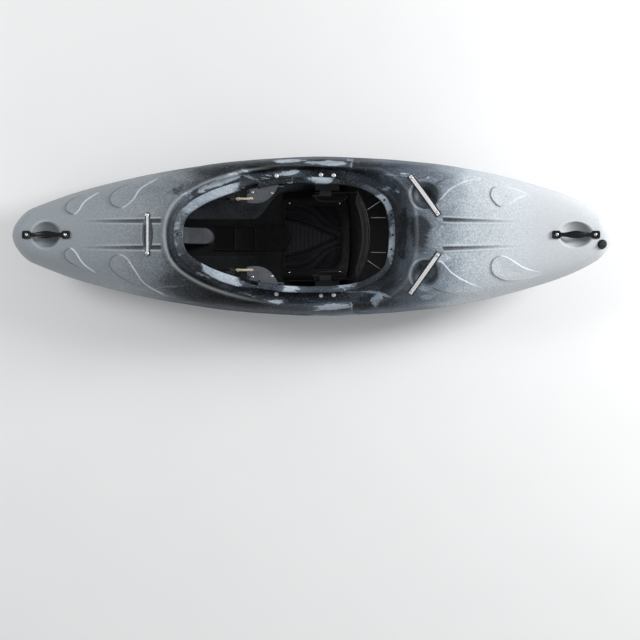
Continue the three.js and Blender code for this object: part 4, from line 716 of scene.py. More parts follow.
def coaming_profile(x):
    """Reach and height pairs of the ring's section, as two columns."""
    lip = mix(0.038, 0.027, float(smooth(x, NOTCH, NOTCH + NOTCH_LENGTH)))
    top, floor = float(rim_top(x)), float(moat_floor(x))
    notched = NOTCH < x < NOTCH + NOTCH_LENGTH
    cut = NOTCH_DEPTH if notched else 0.0
    sill = BRACE_SEAT if notched else (top + floor) / 2
    under = top - 0.011
    return [
        (0, floor - WALL),
        (0, sill - 0.001),
        (0.001 if notched else 0, sill),
        (cut, sill + 0.0005),
        (cut, top - 0.0045),
        (cut + 0.0012, top - 0.0016),
        (cut + 0.0035, top - 0.0002),
        (mix(cut, lip, 0.5), top + 0.0002),
        (lip - 0.006, top - 0.0014),
        (lip - 0.0022, top - 0.0026),
        (lip - 0.0004, top - 0.0052),
        (lip, top - 0.008),
        (lip - 0.0012, top - 0.0104),
        (lip - 0.0036, under - 0.0006),
        (WALL + cut + 0.006, under - 0.0012),
        (WALL + cut + 0.0018, under - 0.0032),
        (WALL + cut, under - 0.007),
        (WALL + cut, max(floor + 0.008, sill)) if notched else (WALL, floor + 0.008),
        (WALL + 0.0024, floor + 0.0028),
        (WALL + 0.008, floor + 0.0008),
        (WALL + 0.016, floor - 0.0006),
        (WALL + 0.016, floor - 0.003),
        (WALL, floor - WALL),
    ]


def coaming_stations():
    """Points of the opening's edge and the way out there, with pairs at the notch's two ends."""
    index = list(range(0, len(EDGE), 4))
    points = [(EDGE[i], OUTWARD[i]) for i in index]
    for end in (NOTCH, NOTCH + NOTCH_LENGTH):
        for side in (-1, 1):
            ok = np.nonzero(np.sign(EDGE[:, 1]) == side)[0]
            i = ok[np.argmin(np.abs(EDGE[ok, 0] - end))]
            for shift in (-0.0004, 0.0004):
                points.append((np.array([end + shift, EDGE[i, 1]]), OUTWARD[i]))
    around = [math.atan2(p[0][1], p[0][0] + 0.1) for p in points]
    return [points[i] for i in np.argsort(around)]


rings = []
for point, outward in coaming_stations():
    profile = np.array(coaming_profile(point[0]))
    flat = point[None] + profile[:, :1] * outward[None]
    rings.append(np.hstack([flat, profile[:, 1:]]))
ring_size = len(rings[0])
points = np.vstack(rings + [rings[0]])
coaming = mesh_piece("hull_coaming", points, grid_faces(len(rings) + 1, ring_size, wrap=True), 40)
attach(coaming, "hull")
print("coaming:", len(rings), "sections,", len(coaming.data.polygons), "faces")

# %% [markdown]
# ## Tools for finishes
#
# Each finish is built from noise in the object's own coordinates, so nothing needs unwrapping.
# A Mapping node stretches a noise where the real pattern runs one way. A Map Range node turns part
# of its span into a share, and the share mixes two colours or sets the roughness, while fine
# noise goes through a bump node. The class below adds one node per call and returns its socket, so
# that a finish reads as a list of what was done to it.


# %% Tools for finishes
def rgb(r, g, b):
    """Scene colour of a display colour given as 0 to 255."""
    return tuple(((c / 255 + 0.055) / 1.055) ** 2.4 if c > 10 else c / 255 / 12.92 for c in (r, g, b)) + (1,)


class Finish:
    """A material whose nodes are added one call at a time."""

    def __init__(self, name, rough=0.5, metal=0.0, specular=0.5):
        self.material = bpy.data.materials.new(name)
        self.material.use_nodes = True
        self.tree = self.material.node_tree
        self.shader = self.tree.nodes["Principled BSDF"]
        self.sets("Roughness", rough)
        self.sets("Metallic", metal)
        self.sets("Specular IOR Level", specular)
        self.where = self.node("TexCoord").outputs["Object"]
        self.normal = None

    def put(self, socket, value):
        if isinstance(value, bpy.types.NodeSocket):
            self.tree.links.new(value, socket)
        else:
            socket.default_value = value

    def sets(self, label, value):
        """Gives one of the shader's own sockets a value or another socket."""
        self.put(self.shader.inputs[label], value)
        return self

    def node(self, kind, values=(), **settings):
        made = self.tree.nodes.new("ShaderNode" + kind)
        for key, value in settings.items():
            setattr(made, key, value)
        for key, value in dict(values).items():
            self.put(made.inputs[key], value)
        return made

    def axes(self):
        return self.node("SeparateXYZ", {0: self.where}).outputs

    def number(self, name):
        """A number that the mesh carries at its points."""
        return self.node("Attribute", attribute_name=name, attribute_type="GEOMETRY").outputs["Fac"]

    def at(self, scale):
        return self.node("Mapping", {"Vector": self.where, "Scale": scale}).outputs[0]

    def noise(self, scale, detail=2.0, rough=0.5, stretch=None, warp=0.0):
        values = {"Vector": self.at(stretch) if stretch else self.where, "Scale": scale, "Detail": detail}
        return self.node("TexNoise", values | {"Roughness": rough, "Distortion": warp}).outputs[0]

    def stripes(self, pitch, way, warp, vector=None):
        """Waves of light and dark across one way, each about a pitch wide."""
        values = {"Vector": vector or self.where, "Scale": 1 / pitch / 6.2832, "Distortion": warp}
        return self.node("TexWave", values, bands_direction=way).outputs["Fac"]

    def math(self, operation, a, b=0.0, c=0.0):
        return self.node("Math", {0: a, 1: b, 2: c}, operation=operation).outputs[0]

    def times(self, a, b):
        return self.math("MULTIPLY", a, b)

    def plus(self, a, share, b):
        """A share of a, added to b."""
        return self.math("MULTIPLY_ADD", a, share, b)

    def span(self, value, low, high, out_low=0.0, out_high=1.0, kind="LINEAR"):
        values = {"Value": value, "From Min": low, "From Max": high, "To Min": out_low, "To Max": out_high}
        return self.node("MapRange", values, interpolation_type=kind).outputs[0]

    def soft(self, *values):
        return self.span(*values, kind="SMOOTHSTEP")

    def blend(self, share, a, b, mode="MIX"):
        made = self.node("Mix", data_type="RGBA", blend_type=mode)
        for socket, value in ((made.inputs[0], share), (made.inputs[6], a), (made.inputs[7], b)):
            self.put(socket, value)
        return made.outputs[2]

    def dimmed(self, base, level):
        """A colour with all three of its parts times a level."""
        grey = self.node("CombineXYZ", {0: level, 1: level, 2: level}).outputs[0]
        return self.blend(1.0, base, grey, "MULTIPLY")

    def ramp(self, value, stops):
        made = self.node("ValToRGB", {0: value})
        ramp = made.color_ramp
        while len(ramp.elements) < len(stops):
            ramp.elements.new(0.5)
        for element, (place, colour) in zip(ramp.elements, stops):
            element.position = place
            element.color = colour
        return made.outputs[0]

    def bump(self, height, distance, strength=1.0):
        values = {"Height": height, "Distance": distance, "Strength": strength}
        made = self.node("Bump", values)
        if self.normal is not None:
            self.put(made.inputs["Normal"], self.normal)
        self.normal = made.outputs[0]
        return self.sets("Normal", self.normal)

    def colour(self, socket):
        self.base = socket
        return self.sets("Base Color", socket)


def paint(obj, finish):
    obj.data.materials.clear()
    obj.data.materials.append(finish.material)
    return obj


def added(obj, finish, body="hull"):
    """A piece with no CAD node of its own, on a body."""
    return paint(stands_for(obj, body=body), finish)


def instead(obj, node, finish):
    """A piece that takes the place of a CAD node."""
    return paint(stands_for(obj, node), finish)


print("mid grey 128 is", round(rgb(128, 128, 128)[0], 3), "in scene colour")

# %% [markdown]
# ## Where the marbling lies
#
# In the mould the powders only part-mixed, and most of the large pale and dark patches lie where
# they happened to fall. The dark ones on the rear slope of the moat and in the rear bowls are
# painted shade, and one more dark patch lies behind the collar. Noise alone never puts them there,
# so each patch is a soft ellipse, laid on the mesh as a number at its points. The finish adds that
# number to its noise, which gives every patch a ragged edge of its own.

# %% Pale and dark patches
# Each row: the middle's two places, length, width, turn in degrees, and how much: above 0 pale.
PATCHES = {
    "hull_skin": [
        (0.072, 0.306, 0.112, 0.018, -3, 1.0),
        (-0.1, 0.318, 0.1, 0.014, 3, 0.8),
        (-0.39, 0.222, 0.15, 0.022, 24, 0.85),
        (-0.52, 0.13, 0.05, 0.05, 50, 0.45),
        (-0.13, 0.262, 0.13, 0.016, 4, 0.55),
        (0.43, 0.236, 0.022, 0.03, 20, 0.95),
        (0.5, 0.235, 0.05, 0.016, -12, 0.8),
        (0.53, 0.07, 0.05, 0.03, 10, 0.7),
        (0.55, -0.10, 0.05, 0.03, 20, 0.6),
        (0.435, -0.222, 0.024, 0.03, -30, 0.95),
        (0.49, -0.262, 0.07, 0.018, 12, 0.8),
        (-0.15, -0.283, 0.05, 0.016, 0, 0.8),
        (0.07, -0.305, 0.12, 0.02, 3, 0.75),
        (0.28, -0.27, 0.05, 0.03, 40, 0.6),
        (-0.42, -0.19, 0.12, 0.016, -30, 0.6),
        (0.40, 0.26, 0.05, 0.03, 15, 0.5),
        (-0.24, -0.262, 0.1, 0.012, -12, 0.5),
        # painted shade on the moat's rear slope; the next row is a dark patch behind the collar
        (0.385, 0.0, 0.035, 0.17, 0, -0.9),
        (0.455, 0.01, 0.062, 0.1, 0, -1.05),
        (0.03, 0.321, 0.035, 0.009, 0, -1.0),
        (-0.2, 0.3, 0.07, 0.03, 10, -0.7),
        (-0.5, -0.24, 0.1, 0.05, -20, -0.8),
        (-0.56, 0.2, 0.07, 0.03, 30, -0.7),
        (0.24, 0.29, 0.07, 0.04, -10, -0.7),
        (0.22, -0.3, 0.05, 0.03, 0, -0.6),
        # painted shade in the two rear bowls
        (0.476, 0.168, 0.045, 0.045, 0, -0.8),
        (0.476, -0.15, 0.045, 0.04, 0, -0.7),
    ],
    "hull_side": [
        (0.1, 0.066, 0.09, 0.014, 0, 1.0),
        (0.36, 0.088, 0.13, 0.022, -4, 0.75),
        (-0.1, 0.1, 0.12, 0.02, 0, 0.5),
        (-0.48, 0.1, 0.12, 0.05, 0, -0.6),
    ],
    "hull_coaming": [
        (-0.42, 0.155, 0.17, 0.055, 32, 1.25),
        (-0.385, -0.165, 0.1, 0.05, -30, 1.2),
        (-0.565, 0.0, 0.035, 0.12, 0, 0.8),
        (0.035, 0.236, 0.07, 0.03, 0, 1.0),
        (-0.09, -0.238, 0.06, 0.03, 0, 0.95),
        (0.31, 0.1, 0.06, 0.09, 30, 0.9),
        (0.335, -0.06, 0.03, 0.1, 0, 0.85),
        (0.35, 0.03, 0.034, 0.13, 0, 0.88),
        (0.14, -0.22, 0.09, 0.03, 10, 0.78),
        (-0.14, 0.23, 0.1, 0.03, 0, -0.9),
        (0.17, 0.22, 0.06, 0.03, 0, -0.5),
    ],
}


def patched(obj, *groups):
    """Lays patches on a mesh as a number per point: above 0 pale, below 0 dark."""
    p = np.array([v.co for v in obj.data.vertices])
    level = np.zeros(len(p))
    for patches, across, where in groups:
        for x, y, long, wide, turn, much in patches:
            c, s = math.cos(math.radians(turn)), math.sin(math.radians(turn))
            along_x, along_y = p[:, 0] - x, p[:, across] - y
            u, v = along_x * c + along_y * s, along_y * c - along_x * s
            share = (1 - smooth(np.hypot(u / long, v / wide), 0.25, 1.35)) * much * where(p)
            level = np.where(np.abs(share) > np.abs(level), share, level)
    obj.data.attributes.new("patch", "FLOAT", "POINT").data.foreach_set("value", level)
    return obj


for piece in skins:
    patched(
        piece,
        (PATCHES["hull_skin"], 1, lambda p: smooth(p[:, 2], 0.2, 0.24)),
        (PATCHES["hull_side"], 2, lambda p: smooth(np.abs(p[:, 1]), 0.1, 0.2)),
    )
patched(coaming, (PATCHES["hull_coaming"], 1, lambda p: 1.0))
print({name: len(rows) for name, rows in PATCHES.items()})

# %% [markdown]
# ## Marbled polyethylene
#
# The hull's colour is one gradient from a grey bow through a near-black middle to a white stern,
# with its place pushed about by noise. In the dark middle lie mist, pale streaks with crisp edges
# and thin tongues, and its sides wear a grey veil. Everywhere grains of the other powder show as a
# fine speckle. Last come the painted shade under the boat and the painted highlights and shade that
# the relief laid down. The gloss is broken by orange peel, a shallow noise in the bump.

# %% Marbled polyethylene
# Shares of the way from bow to stern, and the colour there.
GRADIENT = [
    (0.0, rgb(152, 159, 164)),
    (0.2, rgb(142, 149, 155)),
    (0.255, rgb(118, 125, 132)),
    (0.29, rgb(54, 58, 64)),
    (0.335, rgb(17, 19, 22)),
    (0.56, rgb(20, 22, 25)),
    (0.63, rgb(50, 55, 62)),
    (0.685, rgb(98, 107, 117)),
    (0.72, rgb(150, 160, 169)),
    (0.752, rgb(184, 193, 199)),
    (0.82, rgb(197, 203, 208)),
    (1.0, rgb(200, 204, 207)),
]


def gradient(f, x, y, fine):
    """The colour from bow to stern, with its place askew at the bow and pushed about by noise."""
    place = f.math("ADD", x, f.times(f.span(x, -0.3, -0.55, 0.0, -0.26), y))
    slow = f.noise(2.2, 3.0, 0.55, stretch=(1, 1.4, 1.4))
    ragged = f.noise(9.0, 4.0, 0.6, stretch=(0.5, 1, 1))
    for push, much in ((slow, 0.3), (ragged, 0.2), (fine, 0.16)):
        place = f.plus(f.math("SUBTRACT", push, 0.5), much, place)
    return f.ramp(f.span(place, -LENGTH / 2, LENGTH / 2), GRADIENT)


def veiled(f, base, x, z, patch, middle, cloud, fine):
    """Mist over the dark middle, and a grey veil on its sides."""
    mist = f.span(f.plus(patch, 0.22, f.plus(fine, 0.3, cloud)), 0.66, 0.92)
    base = f.blend(f.times(f.times(mist, middle), 0.55), base, rgb(100, 111, 124))
    veil = f.blend(f.span(cloud, 0.36, 0.64), rgb(66, 73, 82), rgb(98, 107, 118))
    veil = f.blend(f.span(x, -0.1, 0.4, 0.0, 0.5), veil, rgb(130, 140, 152))
    return f.blend(f.times(f.times(middle, f.soft(z, 0.3, 0.215)), 0.85), base, veil)


def streaked(f, base, patch, middle, cloud, fine):
    """Pale streaks and black patches with crisp edges, and thin tongues in the dark."""
    edge = f.plus(fine, 0.18, f.noise(13.0, 6.0, 0.66, stretch=(0.6, 1.2, 1), warp=0.7))
    pale = f.blend(f.span(cloud, 0.38, 0.62), rgb(126, 139, 152), rgb(192, 203, 213))
    base = f.blend(f.times(f.span(f.plus(patch, 0.36, edge), 0.8, 0.87), 0.85), base, pale)
    black = f.span(f.plus(patch, -0.42, edge), 0.8, 0.95)
    base = f.blend(f.times(black, 0.85), base, rgb(26, 29, 33))
    tongues = f.plus(fine, 0.1, f.noise(4.6, 6.0, 0.58, stretch=(0.5, 1.6, 1.1), warp=1.6))
    tongues = f.times(f.span(tongues, 0.665, 0.7), middle)
    return f.blend(f.times(tongues, 0.75), base, rgb(150, 163, 176))


def grained(f, base, x, middle, cloud, fine):
    """Grains of the other powder, most where the gradient changes, and pale ones in the dark."""
    grain = f.times(f.span(f.noise(140.0, 3.0, 0.85), 0.36, 0.64, -1, 1), f.span(fine, 0.35, 0.65, 0.35, 1))
    change = f.math("ABSOLUTE", f.math("SUBTRACT", f.math("ABSOLUTE", f.math("ADD", x, 0.02)), 0.56))
    base = f.dimmed(base, f.plus(grain, f.soft(change, 0.5, 0.0, 0.1, 0.5), 1.0))
    salt = f.times(f.span(f.noise(190.0, 2.0, 0.7), 0.6, 0.68), middle)
    salt = f.times(salt, f.span(cloud, 0.4, 0.6, 0.25, 0.8))
    return f.blend(salt, base, rgb(118, 130, 142))


def lit_and_shaded(f, base, z, cloud):
    """Painted shade on the keel and bottom, painted highlights on edges that face the light, and painted
    shade in hollows.
    """
    wear, under = f.number("wear"), f.number("under")
    # painted shade, deepening towards the keel and over the whole bottom
    base = f.blend(f.soft(f.plus(cloud, 0.1, z), 0.22, 0.1, 0.0, 0.5), base, rgb(36, 39, 43))
    base = f.dimmed(base, f.plus(f.span(under, 0.02, 0.12), -0.24, 1.0))
    # the relief's painted highlights, then its painted shade
    base = f.blend(f.times(wear, 0.85), base, rgb(226, 231, 235))
    return f.blend(f.times(wear, -0.8), base, rgb(24, 26, 29))


def marbled():
    f = Finish("marbled polyethylene", 0.4, specular=0.3)
    x, y, z = f.axes()
    patch = f.number("patch")
    fine = f.noise(120.0, 3.0, 0.75)
    cloud = f.noise(5.0, 5.0, 0.62, stretch=(0.45, 1, 1), warp=0.8)
    middle = f.times(f.soft(x, -0.7, -0.5), f.soft(x, 0.62, 0.4))
    base = gradient(f, x, y, fine)
    base = veiled(f, base, x, z, patch, middle, cloud, fine)
    base = streaked(f, base, patch, middle, cloud, fine)
    base = grained(f, base, x, middle, cloud, fine)
    f.colour(lit_and_shaded(f, base, z, cloud))
    f.sets("Roughness", f.span(f.noise(40.0, 3.0), 0.3, 0.7, 0.4, 0.55))
    flank = f.times(middle, f.soft(f.math("ABSOLUTE", y), 0.2, 0.27))
    f.sets("Specular IOR Level", f.plus(flank, -0.24, 0.3))
    f.bump(f.noise(150.0, 2.0, 0.6), 0.0006, 0.7)
    return f.bump(f.noise(900.0, 1.0), 0.00012, 0.5)


HULL = marbled()
for piece in (*skins, coaming, parting):
    paint(piece, HULL)
print("marbling has", len(HULL.tree.nodes), "nodes")

# %% [markdown]
# ## Plastics, foam and rubber
#
# Moulded plastics, foam and rubber are one recipe with other numbers: two close tones mixed by a
# fine grain on slow clouds, a roughness that varies a little, and a bump of about the grain's
# size. The inside of the hull carries painted light and shade: paler towards the bow, where the
# light falls in, with painted shade towards the stern, on the port side and along the bilge. The
# seat gets darker towards its rear, where cloth and hips keep it from the light.


# %% Plastics, foam and rubber
def speckled(name, dark, light, rough=0.55, scale=300.0, bump=0.0004):
    """Two close tones mixed by grain and clouds, with a bump of like grain."""
    f = Finish(name, rough, specular=0.35)
    fine = f.span(f.noise(scale, 2.0, 0.7), 0.35, 0.65)
    cloud = f.span(f.noise(14.0, 3.0), 0.3, 0.7, 0.0, 0.5)
    f.colour(f.blend(f.plus(fine, 0.6, cloud), dark, light))
    f.sets("Roughness", f.span(f.noise(60.0, 2.0), 0.3, 0.7, rough - 0.06, rough + 0.08))
    return f.bump(f.noise(scale * 0.6, 2.0), bump, 0.6)


def inner_face():
    f = speckled("inner face of the moulding", rgb(30, 32, 36), rgb(104, 111, 120), 0.6, 200.0)
    x, y, _ = f.axes()
    # painted shade on the inside: towards the stern, to port, and along the bilge beside the seat's tongue
    towards_stern = f.soft(x, -0.12, 0.16)
    to_port = f.soft(y, 0.04, -0.1, 0.0, 0.85)
    limit = f.soft(x, -0.26, -0.13, 0.083, 0.2)
    bilge = f.span(f.math("SUBTRACT", f.math("ABSOLUTE", y), limit), 0.004, -0.004, 0.0, 0.95)
    dark = f.math("MAXIMUM", f.math("MAXIMUM", towards_stern, to_port), bilge)
    return f.colour(f.blend(dark, f.base, rgb(9, 10, 12)))


def seat_plastic():
    f = speckled("seat polyethylene", rgb(10, 10, 12), rgb(22, 22, 26), 0.6)
    f.sets("Specular IOR Level", 0.25)
    return f.colour(f.blend(f.span(f.axes()[0], 0.02, 0.16, 0.0, 0.85), f.base, rgb(4, 4, 5)))


INNER = inner_face()
SEAT = seat_plastic()
LEDGE = speckled("rubbed seat edge", rgb(44, 44, 48), rgb(78, 78, 84), 0.5)
BLACK = speckled("black nylon", rgb(14, 15, 17), rgb(30, 31, 34), 0.42, 500.0, 0.0002)
GREY = speckled("grey nylon", rgb(62, 65, 70), rgb(92, 96, 102), 0.46, 420.0, 0.0002)
PALE = speckled("pale nylon", rgb(120, 124, 128), rgb(158, 162, 165), 0.45, 420.0, 0.0002)
FOAM = speckled("closed-cell foam", rgb(48, 50, 54), rgb(82, 85, 90), 0.88, 700.0, 0.0006)
RUBBER = speckled("rubber", rgb(14, 14, 15), rgb(28, 28, 30), 0.75, 600.0, 0.0002)
paint(inside, INNER)
print("plastics:", [f.material.name for f in (SEAT, LEDGE, BLACK, GREY, PALE, FOAM, RUBBER)])

# %% [markdown]
# ## Cloth and cord
#
# A weave is two sets of threads that cross, so its height is the greater of two waves at right
# angles. A braid's strands cross on the slant, and what shows is where both waves are high. Cloth
# is worn pale by slow noise, and a cord is soiled by it. The cushion's mesh carries a number for
# its panels, which are a little paler than the sunk seams.


# %% Cloth and cord
def woven(name, dark, light, pitch=0.0016, rough=0.92):
    f = Finish(name, rough, specular=0.15)
    threads = f.math("MAXIMUM", f.stripes(pitch, "X", 0.6), f.stripes(pitch, "Y", 0.6))
    faded = f.span(f.noise(30.0, 3.0), 0.35, 0.7, 0.0, 0.45)
    f.colour(f.blend(f.plus(threads, 0.45, faded), dark, light))
    f.sets("Sheen Weight", 0.12)
    f.bump(f.noise(60.0, 3.0), 0.0012, 0.5)
    return f.bump(threads, 0.0003, 0.6)


def braided(name, light, dark, pitch):
    f = Finish(name, 0.8, specular=0.2)
    crossing = f.stripes(pitch, "DIAGONAL", 0.4, f.at((1, -1, 1)))
    plait = f.times(f.stripes(pitch, "DIAGONAL", 0.4), crossing)
    soil = f.span(f.noise(70.0, 3.0), 0.45, 0.75, 0.0, 0.35)
    f.colour(f.blend(soil, f.blend(plait, dark, light), dark))
    return f.bump(plait, 0.0005, 0.8)


def seat_cloth():
    f = woven("seat cloth", rgb(17, 17, 20), rgb(44, 43, 50))
    panel = f.number("panel")
    base = f.blend(f.times(panel, 0.7), f.base, rgb(66, 65, 73))
    return f.colour(f.blend(f.times(panel, -0.85), base, rgb(5, 5, 6)))


CLOTH = seat_cloth()
HIP_CLOTH = woven("hip pad cloth", rgb(12, 12, 14), rgb(28, 28, 32))
BAND = woven("backband cloth", rgb(15, 15, 17), rgb(38, 39, 42), 0.0022)
WEB = woven("webbing", rgb(16, 16, 18), rgb(36, 36, 40), 0.0011, 0.8)
CORD = braided("cream cord", rgb(232, 226, 212), rgb(176, 162, 138), 0.003)
ELASTIC = braided("grey elastic", rgb(176, 178, 182), rgb(110, 112, 116), 0.0018)
SHOCK = braided("black cord", rgb(34, 34, 37), rgb(12, 12, 13), 0.0022)
print("cloths and cords:", [f.material.name for f in (CLOTH, HIP_CLOTH, BAND, WEB, CORD, ELASTIC, SHOCK)])

# %% [markdown]
# ## Metals
#
# Drawn and rolled metal has fine lines along its length, so its noise is stretched twenty times
# that way. The lines vary tone and roughness together. An anodised face is a thin oxide over the
# metal: it is less than fully metallic, and so reads as a pale grey under any light.


# %% Metals
def metal(name, tone, rough, stretch, metallic=1.0):
    f = Finish(name, rough, metallic)
    lines = f.noise(420.0, 3.0, 0.6, stretch=stretch)
    f.colour(f.blend(f.span(lines, 0.3, 0.7), tone, tuple(c * 0.82 for c in tone[:3]) + (1,)))
    f.sets("Roughness", f.span(lines, 0.3, 0.7, rough - 0.06, rough + 0.1))
    return f.bump(lines, 0.00008, 0.5)


ALUMINIUM = metal("satin aluminium", (0.9, 0.92, 0.95, 1), 0.38, (0.05, 1, 1))
ANODISED = metal("anodised aluminium", (0.93, 0.94, 0.96, 1), 0.4, (0.05, 1, 1), 0.45)
STEEL = metal("polished steel", (0.78, 0.79, 0.8, 1), 0.2, (1, 1, 1))
print(len(bpy.data.materials), "finishes")

# %% [markdown]
# ## Where the fastenings sit
#
# Fourteen fastenings hold the fittings. All have a domed head with a hexagonal recess, turned and
# then polished or anodised. Each is set from its CAD node: the node's own corners give the axis,
# and the end that is widest is the head.


# %% Where the fastenings sit
def corners(node):
    return np.array([v.co for v in nodes[node].data.vertices])


def frame_of(origin, up, ahead=(1, 0, 0)):
    """A matrix that lays Z along up and X as near as it can be to ahead, at an origin."""
    up = np.array(up, float) / np.linalg.norm(up)
    x = np.array(ahead, float) - up * np.dot(ahead, up)
    x /= np.linalg.norm(x)
    y = np.cross(up, x)
    matrix = Matrix.Identity(4)
    for k, axis in enumerate((x, y, up, origin)):
        for j in range(3):
            matrix[j][k] = float(axis[j])
    return matrix


def head_frame(node):
    """Where a turned node's head sits, which way it looks, and how long its shank is."""
    p = corners(node)
    middle = p.mean(0)
    size, axes = np.linalg.eigh(np.cov((p - middle).T))
    axis = axes[:, 2] if size[1] - size[0] < size[2] - size[1] else axes[:, 0]
    along_axis = (p - middle) @ axis
    radius = np.linalg.norm((p - middle) - along_axis[:, None] * axis, axis=1)
    wide = radius > 0.9 * radius.max()
    if along_axis[wide].mean() < along_axis.mean():
        axis, along_axis = -axis, -along_axis
    base = along_axis[wide].min()
    return middle + axis * base, axis, base - along_axis.min()


fastenings = [n for n in nodes if "bolt" in n or "screw" in n]
print(len(fastenings), "fastenings, the first at", head_frame(fastenings[0])[0].round(3))

# %% [markdown]
# ## Turned bodies
#
# A screw, a foot or a washer is a turned body: a profile spun round its axis with the spin
# operator. A screw's head has its recess as a second mesh, whose section goes from a circle at
# the rim to a hexagon below.

# %% Turned bodies
# How far the middle of a hexagon's side is from its centre, where a corner is at 1.
FLAT_SHARE = 0.87


def spun(name, profile, frame_matrix=None, steps=32, angle=35):
    """A body turned round Z from a profile of radius and height pairs, then set in its frame."""
    mesh = bpy.data.meshes.new(name)
    mesh.from_pydata([(r, 0, z) for r, z in profile], [(i, i + 1) for i in range(len(profile) - 1)], [])
    obj = bpy.data.objects.new(name, mesh)
    bpy.context.scene.collection.objects.link(obj)
    work = bmesh.new()
    work.from_mesh(mesh)
    bmesh.ops.spin(
        work,
        geom=work.verts[:] + work.edges[:],
        cent=(0, 0, 0),
        axis=(0, 0, 1),
        angle=2 * math.pi,
        steps=steps,
    )
    work.to_mesh(mesh)
    work.free()
    if frame_matrix is not None:
        mesh.transform(frame_matrix)
    return tidy(obj, angle, 2e-6)


def joined(name, *objs):
    """Several pieces made one, under one name."""
    bpy.ops.object.select_all(action="DESELECT")
    for obj in objs:
        obj.select_set(True)
    bpy.context.view_layer.objects.active = objs[0]
    bpy.ops.object.join()
    objs[0].name = name
    return objs[0]


def screw(name, origin, up, radius=0.007, height=0.0045, shank=0.003, depth=0.012):
    """A domed head with a hexagonal recess, on a plain shank."""
    profile = [
        (0, -depth),
        (shank * 0.7, -depth),
        (shank, -depth + 0.001),
        (shank, -0.0002),
        (radius * 0.94, -0.0002),
        (radius, 0.0004),
        (radius, height * 0.22),
        (radius * 0.93, height * 0.52),
        (radius * 0.78, height * 0.8),
        (radius * 0.58, height * 0.96),
        (radius * 0.46, height),
    ]
    body = spun(name, profile, frame_of(origin, up), 32, 40)
    recess = []
    flats = np.linspace(0, 2 * np.pi, 6, endpoint=False) + np.pi / 6
    for r, z in ((0.46, height), (0.4, height * 0.97), (0.38, height * 0.4), (0.001, height * 0.36)):
        for turn in np.linspace(0, 2 * np.pi, 24, endpoint=False):
            flat = r * radius
            if r < 0.44:
                near = flats[np.argmin(np.abs(np.angle(np.exp(1j * (flats - turn)))))]
                flat = r * radius * FLAT_SHARE / max(FLAT_SHARE, math.cos(turn - near))
            recess.append((flat * math.cos(turn), flat * math.sin(turn), z))
    hole = mesh_piece(name + "_socket", recess, grid_faces(4, 24, wrap=True), 30)
    hole.data.transform(frame_of(origin, up))
    return joined(name, body, hole)


for name in fastenings:
    origin, up, depth = head_frame(name)
    flanged = name.startswith("collar_bolt")
    piece = screw(name + "_fine", origin, up, radius=0.0094 if flanged else 0.007, depth=depth)
    instead(piece, name, ANODISED if flanged else STEEL)
print("a screw has", len(piece.data.polygons), "faces")

# %% [markdown]
# ## Carrying handles
#
# A handle is one injection moulding in glass-filled nylon: two screwed pads, narrow necks, and
# a grip that swells to fill the palm, with two flutes along it that keep it from twisting in a wet
# hand. It needs a smooth swell in plan and an arch in height, so it is a slab whose outline and
# top are formulas of the place along it. It is glossier than the other mouldings.

# %% Handles
GLOSS = speckled("glossy black nylon", rgb(8, 9, 11), rgb(20, 21, 24), 0.22, 380.0, 0.0001)
HANDLE_HALF, HANDLE_CORNER, HANDLE_THICK, GRIP_LIFT = 0.102, 0.007, 0.008, 0.009
SCREW_PLACE, FLUTE_PLACE = 0.082, 0.0065


def slab(name, rows, columns, top, bottom, angle=35):
    """A closed body between two surfaces, each given as arrays of u and v from 0 to 1."""
    u, v = np.meshgrid(np.linspace(0, 1, rows), np.linspace(0, 1, columns), indexing="ij")
    upper, lower = (np.stack(f(u, v), -1).reshape(-1, 3) for f in (top, bottom))
    size = rows * columns
    faces = [grid_faces(rows, columns), grid_faces(rows, columns, size)]
    index = np.arange(size).reshape(rows, columns)
    for edge in (index[0], index[-1], index[:, 0], index[:, -1]):
        a, b = edge[:-1], edge[1:]
        faces.append(np.stack([a, b, b + size, a + size], -1))
    return mesh_piece(name, np.vstack([upper, lower]), np.vstack(faces), angle)


def handle_half(x):
    """Half breadth of a handle: square ends, narrow necks and a swelling grip."""
    from_end = HANDLE_HALF - np.abs(x)
    neck = mix(0.017, 0.0088, smooth(from_end, 0.030, 0.040))
    grip = mix(neck, 0.0165, smooth(from_end, 0.046, 0.1))
    round_off = np.clip(1 - (1 - np.clip(from_end / HANDLE_CORNER, 0, 1)) ** 2, 0, 1)
    return grip - HANDLE_CORNER * (1 - np.sqrt(round_off))


def handle_face(high):
    """The top or the bottom of a handle as a formula of u along it and v across it."""
    radius = 0.0036 if high else 0.0022

    def face(u, v):
        share = 0.5 - 0.5 * np.cos(np.pi * u)
        x = (share - 0.5) * 2 * HANDLE_HALF
        from_end = HANDLE_HALF - np.abs(x)
        half = handle_half(x)
        y = np.sin((v - 0.5) * np.pi) * half
        lift = GRIP_LIFT * smooth(from_end, 0.034, HANDLE_HALF)
        over = np.clip((np.abs(y) - (half - radius)) / radius, 0, 1)
        edge = radius * (1 - np.sqrt(np.clip(1 - over**2, 0, 1)))
        if not high:
            return x, y, lift + edge
        z = lift + HANDLE_THICK - edge
        z = z - smooth(from_end, 0.044, 0.056) * 0.0013 * hump(np.abs(y), FLUTE_PLACE, 0.0021)
        ring = np.hypot(np.abs(x) - SCREW_PLACE, y)
        z = z - 0.0009 * smooth(ring, 0.0085, 0.0093) * (1 - smooth(ring, 0.0122, 0.013))
        return x, y, z

    return face


